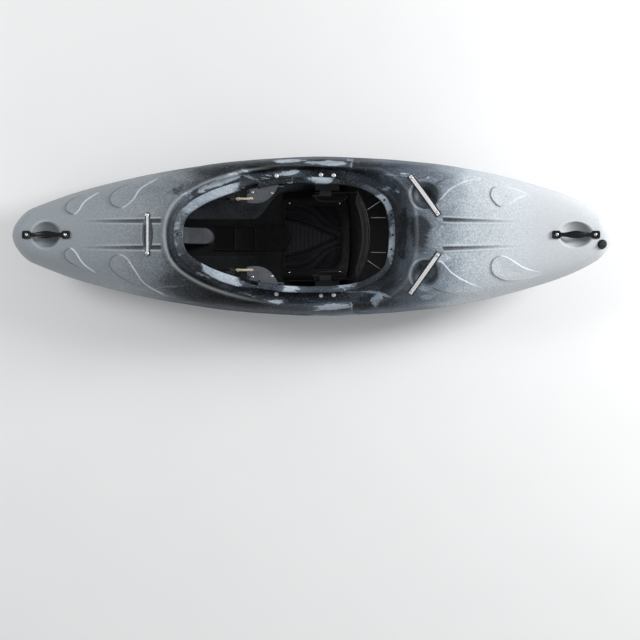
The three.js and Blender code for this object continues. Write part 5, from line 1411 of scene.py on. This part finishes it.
def handle(node):
    first, second = (head_frame(f"{node}_screw_{k}") for k in (1, 2))
    ends = sorted((first[0], second[0]), key=lambda p: p[0])
    ahead = (ends[1] - ends[0]) / np.linalg.norm(ends[1] - ends[0])
    up = np.cross(ahead, (0, 1, 0))
    middle = (ends[0] + ends[1]) / 2 - up * 0.0083
    obj = slab(node + "_fine", 130, 34, handle_face(True), handle_face(False), 40)
    obj.data.transform(frame_of(middle, up, ahead))
    return tidy(obj, 40)


for node in ("bow_handle", "stern_handle"):
    instead(handle(node), node, GLOSS)

# %% [markdown]
# ## Front rescue bar
#
# The front bar is a solid rod on two turned feet, each with a cap screw, over a shallow trough so
# that a carabiner passes under it. A black gasket lies between each foot and the plastic. The
# feet stand square to the deck, whose slope is measured by stepping a millimetre each way.

# %% Front bar
BAR_X, BAR_HALF, ROD_RADIUS = -0.694, 0.08, 0.0055
FOOT = [(0, 0), (0.0098, 0), (0.01, 0.0003), (0.01, 0.0078), (0.0092, 0.0094), (0.007, 0.0118)]
FOOT += [(0.0064, 0.0136), (0.0058, 0.0146), (0.005, 0.015), (0.003, 0.015), (0.0028, 0.0125), (0, 0.0122)]
WASHER = [(0.0098, 0), (0.0125, 0), (0.0125, 0.0014), (0.0119, 0.002), (0.0098, 0.002), (0.0098, 0)]


def deck_frame(x, y, lift):
    """A point a little above the deck, and the way that is square to the deck there."""
    step = 1e-3
    z, further, aside = (
        float(deck_height(np.array(px), np.array(py))) for px, py in ((x, y), (x + step, y), (x, y + step))
    )
    up = np.array([-(further - z) / step, -(aside - z) / step, 1.0])
    up /= np.linalg.norm(up)
    return np.array([x, y, z]) + up * lift, up


parts = []
for side in (-1, 1):
    origin, up = deck_frame(BAR_X, side * BAR_HALF, 0.0006)
    parts.append(spun("foot", FOOT, frame_of(origin, up), 40, 40))
    added(spun("bar_gasket", WASHER, frame_of(origin, up), 40), RUBBER)
rod_z = origin[2] + 0.0095
rod = [(BAR_X, y, rod_z) for y in np.linspace(-BAR_HALF, BAR_HALF, 25)]
parts.append(tube("rod", rod, ROD_RADIUS, 24))
DRAWN = metal("drawn aluminium", (0.62, 0.63, 0.66, 1), 0.38, (1, 0.05, 1))
instead(joined("front_bar", *parts), "front_rescue_bar", DRAWN)
print("front bar: rod at z", round(rod_z, 4))

# %% [markdown]
# ## Refined copies, and the rear rescue bars
#
# Where a CAD node already has the right shape, it is refined: a copy has its doubles merged and
# its flat triangles joined, and then a bevel, because no moulded or sawn edge is perfectly
# sharp. The rear bars are such copies of flat bars that are bent up over their bowls. A second,
# wider copy a little lower is the black strip under each, and its two ends lie on thicker pads.


# %% Refined copies and rear bars
def applied(obj, kind, **settings):
    only(obj)
    modifier = obj.modifiers.new(kind, kind)
    for key, value in settings.items():
        setattr(modifier, key, value)
    bpy.ops.object.modifier_apply(modifier=modifier.name)
    return obj


def copied(node, ending):
    """A free copy of a CAD node, shown even where the node is hidden already."""
    obj = nodes[node].copy()
    obj.data = nodes[node].data.copy()
    obj.name = node + ending
    for key in [k for k in obj.keys() if k.startswith("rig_")]:
        del obj[key]
    obj.parent = None
    obj.hide_render = False
    bpy.context.scene.collection.objects.link(obj)
    return obj


def refined(node, finish, bevel=0.0008, segments=2, angle=32):
    """A copy of a CAD node with merged corners and bevelled edges, in the node's place."""
    obj = tidy(copied(node, "_fine"), angle, 2e-5)
    applied(obj, "DECIMATE", decimate_type="DISSOLVE", angle_limit=math.radians(1.5))
    limit = {"limit_method": "ANGLE", "angle_limit": math.radians(angle), "use_clamp_overlap": True}
    applied(obj, "BEVEL", width=bevel, segments=segments, **limit)
    return instead(tidy(obj, angle), node, finish)


def long_axis(points):
    """The middle of some points, and their long, middle and short axes."""
    middle = points.mean(0)
    return middle, np.linalg.eigh(np.cov((points - middle).T))[1][:, ::-1].T


def bar_pad(name):
    """A gasket with its long edges rolled down."""

    def top(u, v):
        return (u - 0.5) * 0.03, (v - 0.5) * 0.0205, 0.0016 - 0.0012 * (np.abs(2 * v - 1) ** 8)

    def bottom(u, v):
        return (u - 0.5) * 0.03, (v - 0.5) * 0.0205, 0 * u - 0.002

    return slab(name, 12, 8, top, bottom)


for name, _ in SIDES:
    node = f"rear_rescue_bar_{name}"
    refined(node, ANODISED, 0.0012, 3)
    middle, (ahead, _, up) = long_axis(corners(node))
    up = up * np.sign(up[2])
    strip = refined(node, RUBBER, 0.0006, 2)
    set_in = frame_of(middle, up, ahead)
    strip.data.transform(set_in @ Matrix.Diagonal((1.02, 1.65, 0.98, 1)) @ set_in.inverted())
    strip.data.transform(Matrix.Translation(Vector(-up * 0.0012)))
    strip.name = f"bar_strip_{name}"
    reach = (corners(node) - middle) @ ahead
    for end in (-1, 1):
        tip = corners(node)[np.abs(reach - (reach.max() if end > 0 else reach.min())) < 0.004]
        low, high = (f(tip @ up) for f in (np.min, np.max))
        flat = middle + ahead * (end * (reach.max() - 0.0135)) - up * (middle @ up)
        slope = up - ahead * end * -0.14
        seat = flat + up * (high + 0.0016)
        head = screw(f"bar_screw_{name}_{end}", seat, slope, 0.0056, 0.0034, 0.0026, 0.005)
        added(head, STEEL)
        pad = bar_pad(f"bar_pad_{name}_{end}")
        pad.data.transform(frame_of(flat + up * (low - 0.0002), slope, ahead))
        added(tidy(pad), RUBBER)
print("rear bars are", round(float(np.ptp(reach)), 3), "long")

# %% [markdown]
# ## Drain
#
# The drain is a moulded socket let into the stern, a rubber seal, and a plug with a wing that two
# fingers turn. All three are refined from their CAD nodes, with a generous bevel on the wing.

# %% Drain
refined("drain_socket", BLACK)
refined("drain_seal", RUBBER, 0.0004)
PLUG = speckled("plug nylon", rgb(30, 31, 34), rgb(58, 60, 64), 0.3, 500.0, 0.0001)
refined("drain_plug", PLUG, 0.0011, 3)

# %% [markdown]
# ## Seat pan
#
# The pan is a thermoformed shell with upstanding sides and a long tongue that lies on the hull's
# floor and locates against the front pillar. Its edges are trimmed and rounded by hand, so they
# get a bevel. Two rivets show on each side, and the tongue's edges and ribs are rubbed pale.


# %% Seat pan and hangers
def drop(obj, x, y, from_z=0.6):
    """Where a plumb line at x, y first meets a piece, and that surface's normal."""
    hit, place, normal, _ = obj.ray_cast(Vector((x, y, from_z)), Vector((0, 0, -1)))
    return (np.array(place), np.array(normal)) if hit else (np.array((x, y, 0.0)), np.array((0, 0, 1.0)))


pan = refined("seat_pan", SEAT, 0.0016, 3)
for x, y in ((-0.1, 0.152), (-0.1, -0.152), (0.12, 0.15), (0.12, -0.15)):
    place, normal = drop(pan, x, y)
    added(screw("seat_rivet", place, normal, 0.0048, 0.0024, 0.002, 0.003), STEEL)
for name, _ in SIDES:
    refined(f"seat_hanger_{name}", BLACK)
TONGUE_HALF, TONGUE_FRONT, TONGUE_REAR = 0.0535, -0.423, -0.15
EDGE_Z, RIB_Z = 0.0268, 0.0188
ends_x = (TONGUE_FRONT, TONGUE_REAR)
lines = [[(x, side * (TONGUE_HALF - 0.002), EDGE_Z) for x in ends_x] for _, side in SIDES]
lines += [[(x, y, RIB_Z) for y in (-0.049, 0.049)] for x in (-0.339, -0.249)]
for ends in lines:
    added(tube("tongue_edge", np.linspace(*np.array(ends), 24), 0.0009, 8), LEDGE)
print("pan", len(pan.data.polygons), "faces")

# %% [markdown]
# ## Seat cushion
#
# The cushion is foam under cloth, sewn in panels: a wedge with cross ribs between two thigh
# lobes, and a curved panel at each hip. A seam pulls the cloth down to the base, and the foam
# swells between seams. So the height falls in a narrow valley at every seam and rises with the
# distance from it. Double piping runs along both sides of the wedge.

# %% Cushion
WEDGE = curve_through([(-0.118, 0.079), (-0.071, 0.070), (-0.018, 0.054), (0.036, 0.031), (0.104, 0.001)], 70)
LOBE = curve_through([(-0.112, 0.128), (-0.05, 0.126), (0.0, 0.106), (0.05, 0.06), (0.12, 0.03)], 70)
HIP = curve_through([(0.015, 0.137), (0.05, 0.098), (0.085, 0.062), (0.126, 0.05)], 50)
PIPED_AT = (0.003, 0.0085)
PAN_FRONT, PAN_LONG, CUSHION_HALF = -0.136, 0.3, 0.14
RIB_START, RIB_PITCH = -0.09, 0.0185


def nearest(x, y, line):
    """Distance from each point to the nearest point of a line."""
    away = np.hypot(x.reshape(-1, 1) - line[None, :, 0], y.reshape(-1, 1) - line[None, :, 1])
    return away.min(1).reshape(x.shape)


def seat_base(x):
    """Height of the pan under the cushion, which rises towards the rear."""
    share = np.clip((x - PAN_FRONT) / PAN_LONG, 0, 1)
    return 0.0063 + 0.034 * share**4


def cushion_plan(u, v):
    y = (2 * v - 1) * CUSHION_HALF
    front = PAN_FRONT + 0.036 * hump(y, 0, 0.04) + 0.014
    rear = PAN_FRONT + PAN_LONG - 0.034 - 0.03 * (2 * v - 1) ** 4
    return mix(front, rear, u), y


def cross_ribs(x):
    return np.abs(np.sin(np.pi * (x - RIB_START) / RIB_PITCH))


def cushion_top(u, v):
    x, y = cushion_plan(u, v)
    edge = np.sqrt(np.minimum(1, 9 * u * (1 - u)) * np.minimum(1, 7 * v * (1 - v)))
    rise = 0.010 * edge + 0.007 * edge**2
    across = np.abs(y)
    for line, valley in ((WEDGE, 0.0044), (WEDGE + PIPED_AT, 0.0024), (LOBE, 0.0038), (HIP, 0.003)):
        gap = nearest(x, across, line)
        rise = rise + edge * (0.0016 * (1 - hump(gap, 0, 0.016)) - valley * hump(gap, 0, 0.0028))
    half = np.interp(x, WEDGE[:, 0], WEDGE[:, 1])
    in_wedge = smooth(half - across, 0.002, 0.01) * smooth(x, -0.095, -0.085) * (1 - smooth(x, 0.03, 0.045))
    rise = rise + edge * in_wedge * 0.0021 * cross_ribs(x) ** 0.6
    crease = 0.0006 * np.sin(x * 210 + 9 * np.sin(across * 60)) * hump(nearest(x, across, LOBE), 0, 0.014)
    return x, y, seat_base(x) + 0.0062 + np.maximum(0.0006, rise + edge * crease)


def cushion_under(u, v):
    x, y = cushion_plan(u, v)
    return x, y, seat_base(x) + 0.0056


cushion = slab("cushion", 170, 190, cushion_top, cushion_under, 60)
at_x, at_y, _ = np.array([v.co for v in cushion.data.vertices]).T
across, level = np.abs(at_y), np.zeros(len(at_x))
in_wedge = smooth(np.interp(at_x, WEDGE[:, 0], WEDGE[:, 1]) - across, 0.004, 0.01)
level += 0.9 * in_wedge * (0.35 + 0.65 * cross_ribs(at_x))
level += 0.4 * (1 - smooth(nearest(at_x, across, LOBE), 0.012, 0.03))
for line in (WEDGE + (0.0, 0.004), LOBE, HIP):
    level -= 1.4 * hump(nearest(at_x, across, line), 0, 0.0045)
cushion.data.attributes.new("panel", "FLOAT", "POINT").data.foreach_set("value", level)
instead(cushion, "seat_cushion", CLOTH)
print("cushion", len(cushion.data.polygons), "faces")

# %% [markdown]
# ## The cushion's piping
#
# Piping is a thin cord sewn into a seam under its own strip of cloth. Its route is dropped on the
# finished cushion with plumb lines, so it follows every rise. One more runs round the edge.

# %% Piping of the cushion
PIPING = speckled("piping", rgb(30, 30, 34), rgb(58, 58, 64), 0.7, 500.0, 0.0002)
for line, radius in ((WEDGE, 0.0014), (WEDGE + PIPED_AT, 0.0012), (LOBE, 0.0009), (HIP, 0.0009)):
    for side in (-1, 1):
        route = [drop(cushion, x, side * y)[0] + (0, 0, 0.0004) for x, y in line[2:-2]]
        added(tube("cushion_piping", route, radius, 8), PIPING)
u = np.linspace(0, 1, 60)
rim = [cushion_plan(u, 0 * u), cushion_plan(1 + 0 * u, u)]
rim += [cushion_plan(u[::-1], 1 + 0 * u), cushion_plan(0 * u, u[::-1])]
rim = np.vstack([np.stack(p, -1)[:-1] for p in rim])
rim = np.column_stack([rim, seat_base(rim[:, 0]) + 0.0075])
added(tube("cushion_edge", rim, 0.0022, 8, closed=True), PIPING)
print("edge piping", lengths(rim)[-1].round(3), "long")

# %% [markdown]
# ## Padded pieces
#
# Hip pads, the backband's pad and the footrest's pads are foam in a sewn cover. Each is a copy of
# its CAD solid, remeshed evenly and blown up a little as cloth, so that flat faces bulge and
# corners stay where the stitching holds them. The bulge is capped and kept off the face that
# the pad rests on. Piping goes on afterwards, where the cover's panels meet.


# %% Padded pieces
def puffed(node, wall, voxel=0.0045, cap=0.004):
    """A CAD solid blown up as cloth, but not past its resting face: wall is (axis, value, side)."""
    obj = tidy(copied(node, "_soft"), 40, 2e-5)
    applied(obj, "REMESH", mode="VOXEL", voxel_size=voxel)
    applied(obj, "SMOOTH", factor=0.5, iterations=2)
    rest = np.array([v.co for v in obj.data.vertices])
    only(obj)
    cloth = obj.modifiers.new("cloth", "CLOTH")
    cloth.settings.use_pressure = True
    cloth.settings.uniform_pressure_force = 4.0
    cloth.settings.effector_weights.gravity = 0.0
    cloth.settings.quality = 6
    cloth.point_cache.frame_start, cloth.point_cache.frame_end = 1, 20
    for frame_number in range(1, 21):
        bpy.context.scene.frame_set(frame_number)
    bpy.ops.object.modifier_apply(modifier=cloth.name)
    bpy.context.scene.frame_set(1)
    moved = np.array([v.co for v in obj.data.vertices]) - rest
    size = np.linalg.norm(moved, axis=1)[:, None]
    moved = rest + moved * np.minimum(1, cap / np.maximum(size, 1e-9))
    axis, value, side = wall
    if axis is not None:
        moved[:, axis] = np.maximum(moved[:, axis] * side, value * side) * side
    obj.data.vertices.foreach_set("co", moved.reshape(-1))
    obj.data.update()
    applied(obj, "SUBSURF", levels=1, render_levels=1)
    return tidy(obj, 60)


def loops_at(obj, place, normal):
    """Closed lines along which a plane cuts a piece."""
    work = bmesh.new()
    work.from_mesh(obj.data)
    cut = bmesh.ops.bisect_plane(
        work, geom=work.verts[:] + work.edges[:] + work.faces[:], plane_co=place, plane_no=normal
    )["geom_cut"]
    edges = [e for e in cut if isinstance(e, bmesh.types.BMEdge)]
    links = {}
    for e in edges:
        a, b = (tuple(round(c, 7) for c in v.co) for v in e.verts)
        links.setdefault(a, []).append(b)
        links.setdefault(b, []).append(a)
    work.free()
    loops = []
    while links:
        start = next(iter(links))
        loop, last = [start], None
        while True:
            ahead = [p for p in links.pop(loop[-1], []) if p != last and p in links]
            last = loop[-1]
            if not ahead:
                break
            loop.append(ahead[0])
        if len(loop) > 12:
            loops.append(np.array(loop))
    return loops


def piping(name, obj, place, normal, body, radius=0.0013, finish=PIPING):
    """Piping along the lines where a plane cuts a piece, with their corners eased."""
    for loop in loops_at(obj, place, normal):
        long = lengths(np.vstack([loop, loop[:1]]))[-1]
        line = spaced(loop, int(np.clip(long / 0.004, 24, 260)), closed=True)
        for _ in range(3):
            line = (np.roll(line, 1, 0) + 2 * line + np.roll(line, -1, 0)) / 4
        added(tube(name, line, radius, 8, closed=True), finish, body)


PAD_FACE = 0.193 - 0.005 - 0.0003
for name, side in SIDES:
    pad = puffed(f"hip_pad_{name}", (1, side * PAD_FACE, -side))
    instead(pad, f"hip_pad_{name}", HIP_CLOTH)
    piping("hip_piping", pad, (0, side * (PAD_FACE - 0.006), 0), (0, 1, 0), "hull")
    piping("hip_piping", pad, (0, side * (PAD_FACE - 0.019), 0), (0, 1, 0), "hull", 0.001)
    pad = puffed(f"foot_pad_{name}", (0, -0.7697, 1))
    instead(pad, f"foot_pad_{name}", FOAM)
    piping("foot_pad_edge", pad, (-0.757, 0, 0), (1, 0, 0), "footrest", 0.0012, RUBBER)
band = puffed("backband_pad", (None, 0, 0), 0.005, 0.003)
instead(band, "backband_pad", BAND)
for z in (0.236, 0.291, 0.344):
    piping("band_piping", band, (0, 0, z), (0, 0, 1), "backband", 0.0013)
refined("backband_shell", BLACK)

# %% [markdown]
# ## Thigh braces, their brackets and the clips
#
# The blade of a thigh brace hooks over the paddler's thigh. It's a thin moulded leaf bolted to a
# black bracket that fills a notch in the coaming, and a bent spring clip keeps both from
# working loose. A fold across the blade stiffens it. The blade and the bracket are refined CAD
# nodes. Clip, fold and bolts are laid on them with plumb lines, and a post stands beside the clip.

# %% Braces
def brace_post(name, side):
    """A low block with a pillowed top, beside the clip."""

    def plan(u, v):
        return -0.3 + u * 0.012, side * (0.197 + v * 0.018)

    def top(u, v):
        return *plan(u, v), 0.358 - 0.002 * (np.abs(2 * u - 1) ** 6 + np.abs(2 * v - 1) ** 6)

    def bottom(u, v):
        return *plan(u, v), 0.346 + 0 * u

    return slab(f"brace_post_{name}", 14, 14, top, bottom)


for name, side in SIDES:
    blade = refined(f"thigh_brace_{name}", GREY, 0.0022, 3, 40)
    refined(f"brace_bracket_{name}", BLACK, 0.0014, 3)
    for x, y in ((-0.252, 0.179), (-0.17, 0.176)):
        place, normal = drop(blade, x, side * y)
        added(screw(f"brace_bolt_{name}", place, normal, 0.0055, 0.003, 0.002, 0.004), STEEL)
    shares = np.linspace(0, 1, 24)
    fold = [drop(blade, mix(-0.236, -0.222, t), side * mix(0.196, 0.148, t))[0] for t in shares]
    fold = tube(f"brace_fold_{name}", np.array(fold) - (0, 0, 0.0004), 0.0016, 10)
    added(fold, GREY)
    s_line = [(-0.268, 0.205), (-0.262, 0.197), (-0.272, 0.19), (-0.266, 0.181), (-0.276, 0.173)]
    s_line = curve_through([(x, side * y, 0.3) for x, y in s_line], 50)
    top = max(drop(blade, x, y)[0][2] for x, y, _ in s_line[::5])
    s_line[:, 2] = top + 0.0026
    added(tube(f"brace_clip_{name}", s_line, 0.0026, 12), BLACK)
    added(brace_post(name, side), PALE)

# %% [markdown]
# ## Cleats and footrest cords
#
# Each footrest cord runs from the plate, back under the deck and through a cam cleat on the brace,
# and ends in a pull loop. The core is a thin black cord. The loop is sheathed in a pale tube of
# braid that fingers find by touch, and is tied off with a knot. The route is the CAD cord's.

# %% Cords
CORD_Z, CLEAT, PLATE = 0.359, -0.344, -0.7697
CORD_Y, CORD_RADIUS, LOOP_RADIUS = 0.15, 0.002, 0.0044
LOOP_FRONT = CLEAT + 0.017 + 0.0045 + 0.004


def between(values):
    return (values.min() + values.max()) / 2


def cord_route(y, low, loop_z):
    """From the plate, up under the deck, level through the cleat, and down or up to the loop."""
    dip, rise = CLEAT - 0.15 - PLATE, CORD_Z - low
    return [
        (PLATE, y, low),
        (PLATE + 0.004, y, low),
        (PLATE + dip / 4, y, low + rise / 8),
        (PLATE + dip * 0.75, y, CORD_Z - rise / 8),
        (CLEAT - 0.15, y, CORD_Z),
        (CLEAT - 0.075, y, CORD_Z),
        (CLEAT, y, CORD_Z),
        (CLEAT + 0.017, y, CORD_Z),
        (LOOP_FRONT - 0.001, y, mix(CORD_Z, loop_z, 0.5)),
        (LOOP_FRONT + 0.002, y, loop_z),
    ]


for name, side in SIDES:
    p = corners(f"footrest_cord_{name}")
    loop_z = between(p[p[:, 0] > -0.3][:, 2])
    low = between(p[p[:, 0] < -0.768][:, 2])
    y = side * CORD_Y
    cord = tube(f"footrest_cord_{name}_fine", curve_through(cord_route(y, low, loop_z), 200), CORD_RADIUS, 12)
    instead(cord, f"footrest_cord_{name}", SHOCK)
    turn = np.linspace(0, 2 * np.pi, 90, endpoint=False)
    ring = np.column_stack([
        LOOP_FRONT + 0.033 + 0.033 * np.cos(turn),
        y + 0.0012 * np.sin(3 * turn),
        loop_z + 0.018 * np.sin(turn),
    ])
    loop = tube(f"pull_loop_{name}", ring, LOOP_RADIUS + 0.0002 * np.sin(turn * 36), 16, closed=True)
    added(loop, CORD, "footrest")
    t = np.linspace(0, 2 * np.pi, 80, endpoint=False)
    trefoil = np.column_stack([np.sin(t) + 2 * np.sin(2 * t), np.cos(t) - 2 * np.cos(2 * t), -np.sin(3 * t)])
    trefoil = trefoil * (0.0021, 0.0019, 0.0023) + (LOOP_FRONT + 0.006, y, loop_z)
    added(tube(f"loop_knot_{name}", trefoil, 0.0022, 12, closed=True), CORD, "footrest")
    refined(f"cord_cleat_{name}", BLACK)
    refined(f"cleat_cam_{name}", BLACK, 0.0005)
    for end in (-1, 1):
        place = (CLEAT, y + end * 0.008, 0.3668)
        pin = screw(f"cleat_pin_{name}", place, (0, end, 0), 0.003, 0.0012, 0.0014, 0.003)
        added(pin, STEEL)
print("loops at z", round(loop_z, 4))

# %% [markdown]
# ## Straps, ratchets and elastics of the backband
#
# A ladder strap on each side pulls the band forward through a ratchet, whose lever lets it go
# again. Four thin elastics hook the band to the rear rim, so that it can't fall over.

# %% Backband fittings
for name, side in SIDES:
    refined(f"backband_strap_{name}", WEB, 0.0003, 1)
    refined(f"ratchet_body_{name}", BLACK, 0.0009, 3)
    refined(f"ratchet_lever_{name}", BLACK, 0.0009, 3)
    for x in (0.038, 0.074):
        place = (x, side * 0.1932, 0.234)
        head = screw(f"ratchet_screw_{name}", place, (0, side, 0), 0.0032, 0.0016, 0.0015, 0.002)
        added(head, STEEL)
    p = corners(f"backband_elastic_{name}")
    outer = np.abs(p[:, 1])
    inner_end, outer_end = p[p[:, 0] > p[:, 0].max() - 0.012], p[outer > outer.max() - 0.004]
    strands = []
    for y, far in ((0.073, inner_end), (0.105, outer_end)):
        near = p[(np.abs(outer - y) < 0.004) & (p[:, 0] < 0.26)]
        start = near.mean(0) if len(near) else np.array((0.236, side * y, 0.318))
        strands.append((start, far.mean(0)))
    for k, (start, end) in enumerate(strands):
        line = np.linspace(start, end, 40)
        line[:, 2] -= 0.0015 * np.sin(np.linspace(0, np.pi, 40))
        strand = paint(tube(f"elastic_{name}_{k}", line, 0.0015, 8), ELASTIC)
        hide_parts(f"backband_elastic_{name}")
        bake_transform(strand)
        place = start + (0.0005, 0, 0.001)
        hook = screw(f"elastic_end_{name}_{k}", place, (0, 0, 1), 0.0036, 0.003, 0.002, 0.004)
        added(hook, BLACK, "backband")
print("elastics from", strands[0][0].round(3), "to", strands[0][1].round(3))

# %% [markdown]
# ## Pillars and footrest
#
# The pillars are blocks of closed-cell foam sawn to shape: matt, with open cells on every cut
# face. The footrest is a plate in bent aluminium sheet on two arms, which slide in bolted rails.

# %% Pillars and footrest
for node in ("front_pillar", "rear_pillar"):
    refined(node, FOAM, 0.004, 3)
refined("foot_plate", ALUMINIUM)
for name, _ in SIDES:
    refined(f"foot_arm_{name}", ALUMINIUM, 0.0006)
    refined(f"foot_rail_{name}", ALUMINIUM, 0.0005)

# %% [markdown]
# ## Holes in the coaming
#
# Small holes let the elastics and a drip line through the lip. A hole with a dark eyelet is a
# shallow turned ring with a black bottom, set on the lip's top.

# %% Eyelets
EYELET = [(0.005, -0.001), (0.005, 0.0004), (0.0044, 0.0009), (0.0036, 0.0007), (0.0033, 0.0003), (0, 0.0003)]
HOLES = ((-0.566, 0.0), (0.342, 0.0), (0.306, 0.1485), (0.336, 0.0843), (0.336, -0.0612), (0.309, -0.124))
for x, y in HOLES:
    place, normal = drop(coaming, x, y)
    if place[2] > 0.2:
        added(spun("eyelet", EYELET, frame_of(place, normal), 24), BLACK)

# %% [markdown]
# ## Camera and light
#
# The photograph looks straight down on the boat from far away, bow to the left, with the boat in
# the upper half of the square. A long lens high above gives the same view. The light is a bright
# tent with one large source towards the stern and a weaker one over the bow, so that every crease
# has a light and a dark flank while a mid-grey still comes out as a mid-grey. By a Light Path
# node the camera sees the tent as white paper, while the boat is lit by a dimmer one.

# %% Floor and world
bpy.ops.mesh.primitive_plane_add(size=60)
floor = bpy.context.object
floor.name = "floor"
ground = Finish("paper floor", 0.9, specular=0.1)
ground.colour(ground.blend(ground.noise(3.0), (0.9, 0.9, 0.9, 1), (0.93, 0.93, 0.93, 1)))
floor.data.materials.append(ground.material)
floor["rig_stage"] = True

world = bpy.data.worlds.new("tent")
bpy.context.scene.world = world
world.use_nodes = True
sky = world.node_tree
shader = sky.nodes["Background"]
shader.inputs["Color"].default_value = (0.97, 0.985, 1, 1)
shader.inputs["Strength"].default_value = 0.43
paper = sky.nodes.new("ShaderNodeBackground")
paper.inputs["Color"].default_value = (1, 1, 1, 1)
paper.inputs["Strength"].default_value = 0.95
rays = sky.nodes.new("ShaderNodeLightPath")
seen = sky.nodes.new("ShaderNodeMath")
seen.operation = "MAXIMUM"
choice = sky.nodes.new("ShaderNodeMixShader")
for output, socket in (
    (rays.outputs["Is Camera Ray"], seen.inputs[0]),
    (rays.outputs["Is Transmission Ray"], seen.inputs[1]),
    (seen.outputs[0], choice.inputs[0]),
    (shader.outputs[0], choice.inputs[1]),
    (paper.outputs[0], choice.inputs[2]),
    (choice.outputs[0], sky.nodes["World Output"].inputs["Surface"]),
):
    sky.links.new(output, socket)
print("world has", len(sky.nodes), "nodes")


# %% Lamps and camera
def lamp(name, place, size, power):
    """A soft rectangular light that looks at the boat."""
    light = bpy.data.lights.new(name, "AREA")
    light.shape = "RECTANGLE"
    light.size, light.size_y = size
    light.energy = power
    obj = bpy.data.objects.new(name, light)
    bpy.context.scene.collection.objects.link(obj)
    obj.location = place
    obj.rotation_euler = (Vector((0, 0, 0.2)) - Vector(place)).to_track_quat("-Z", "Y").to_euler()
    return obj


lamp("key towards the stern", (4.7, 1.5, 2.4), (1.2, 2.2), 250)
lamp("fill over the bow", (-3.8, 1.4, 3.4), (1.6, 1.6), 70)
lamp("low side", (0.4, -4.6, 2.2), (4.0, 1.2), 18)

SENSOR, DISTANCE, FRAME_WIDTH = 36, 9.0, 2.7386
camera = bpy.data.objects.new("camera", bpy.data.cameras.new("camera"))
bpy.context.scene.collection.objects.link(camera)
bpy.context.scene.camera = camera
camera.location = (0.033, -0.361, 9.25)
camera.data.sensor_width = SENSOR
camera.data.lens = SENSOR * DISTANCE / FRAME_WIDTH
camera.data.clip_end = 100
bpy.context.scene.view_settings.view_transform = "Standard"
print("camera", tuple(camera.location), "lens", camera.data.lens)

# %% [markdown]
# ## Sizes
#
# The finished pieces stand a little proud of the CAD model, by a bead or a bump and no more. The
# box of the whole scene is printed.

# %% Sizes, and the end
low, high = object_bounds()
print("scene", [round(v, 4) for v in (*low, *high)])
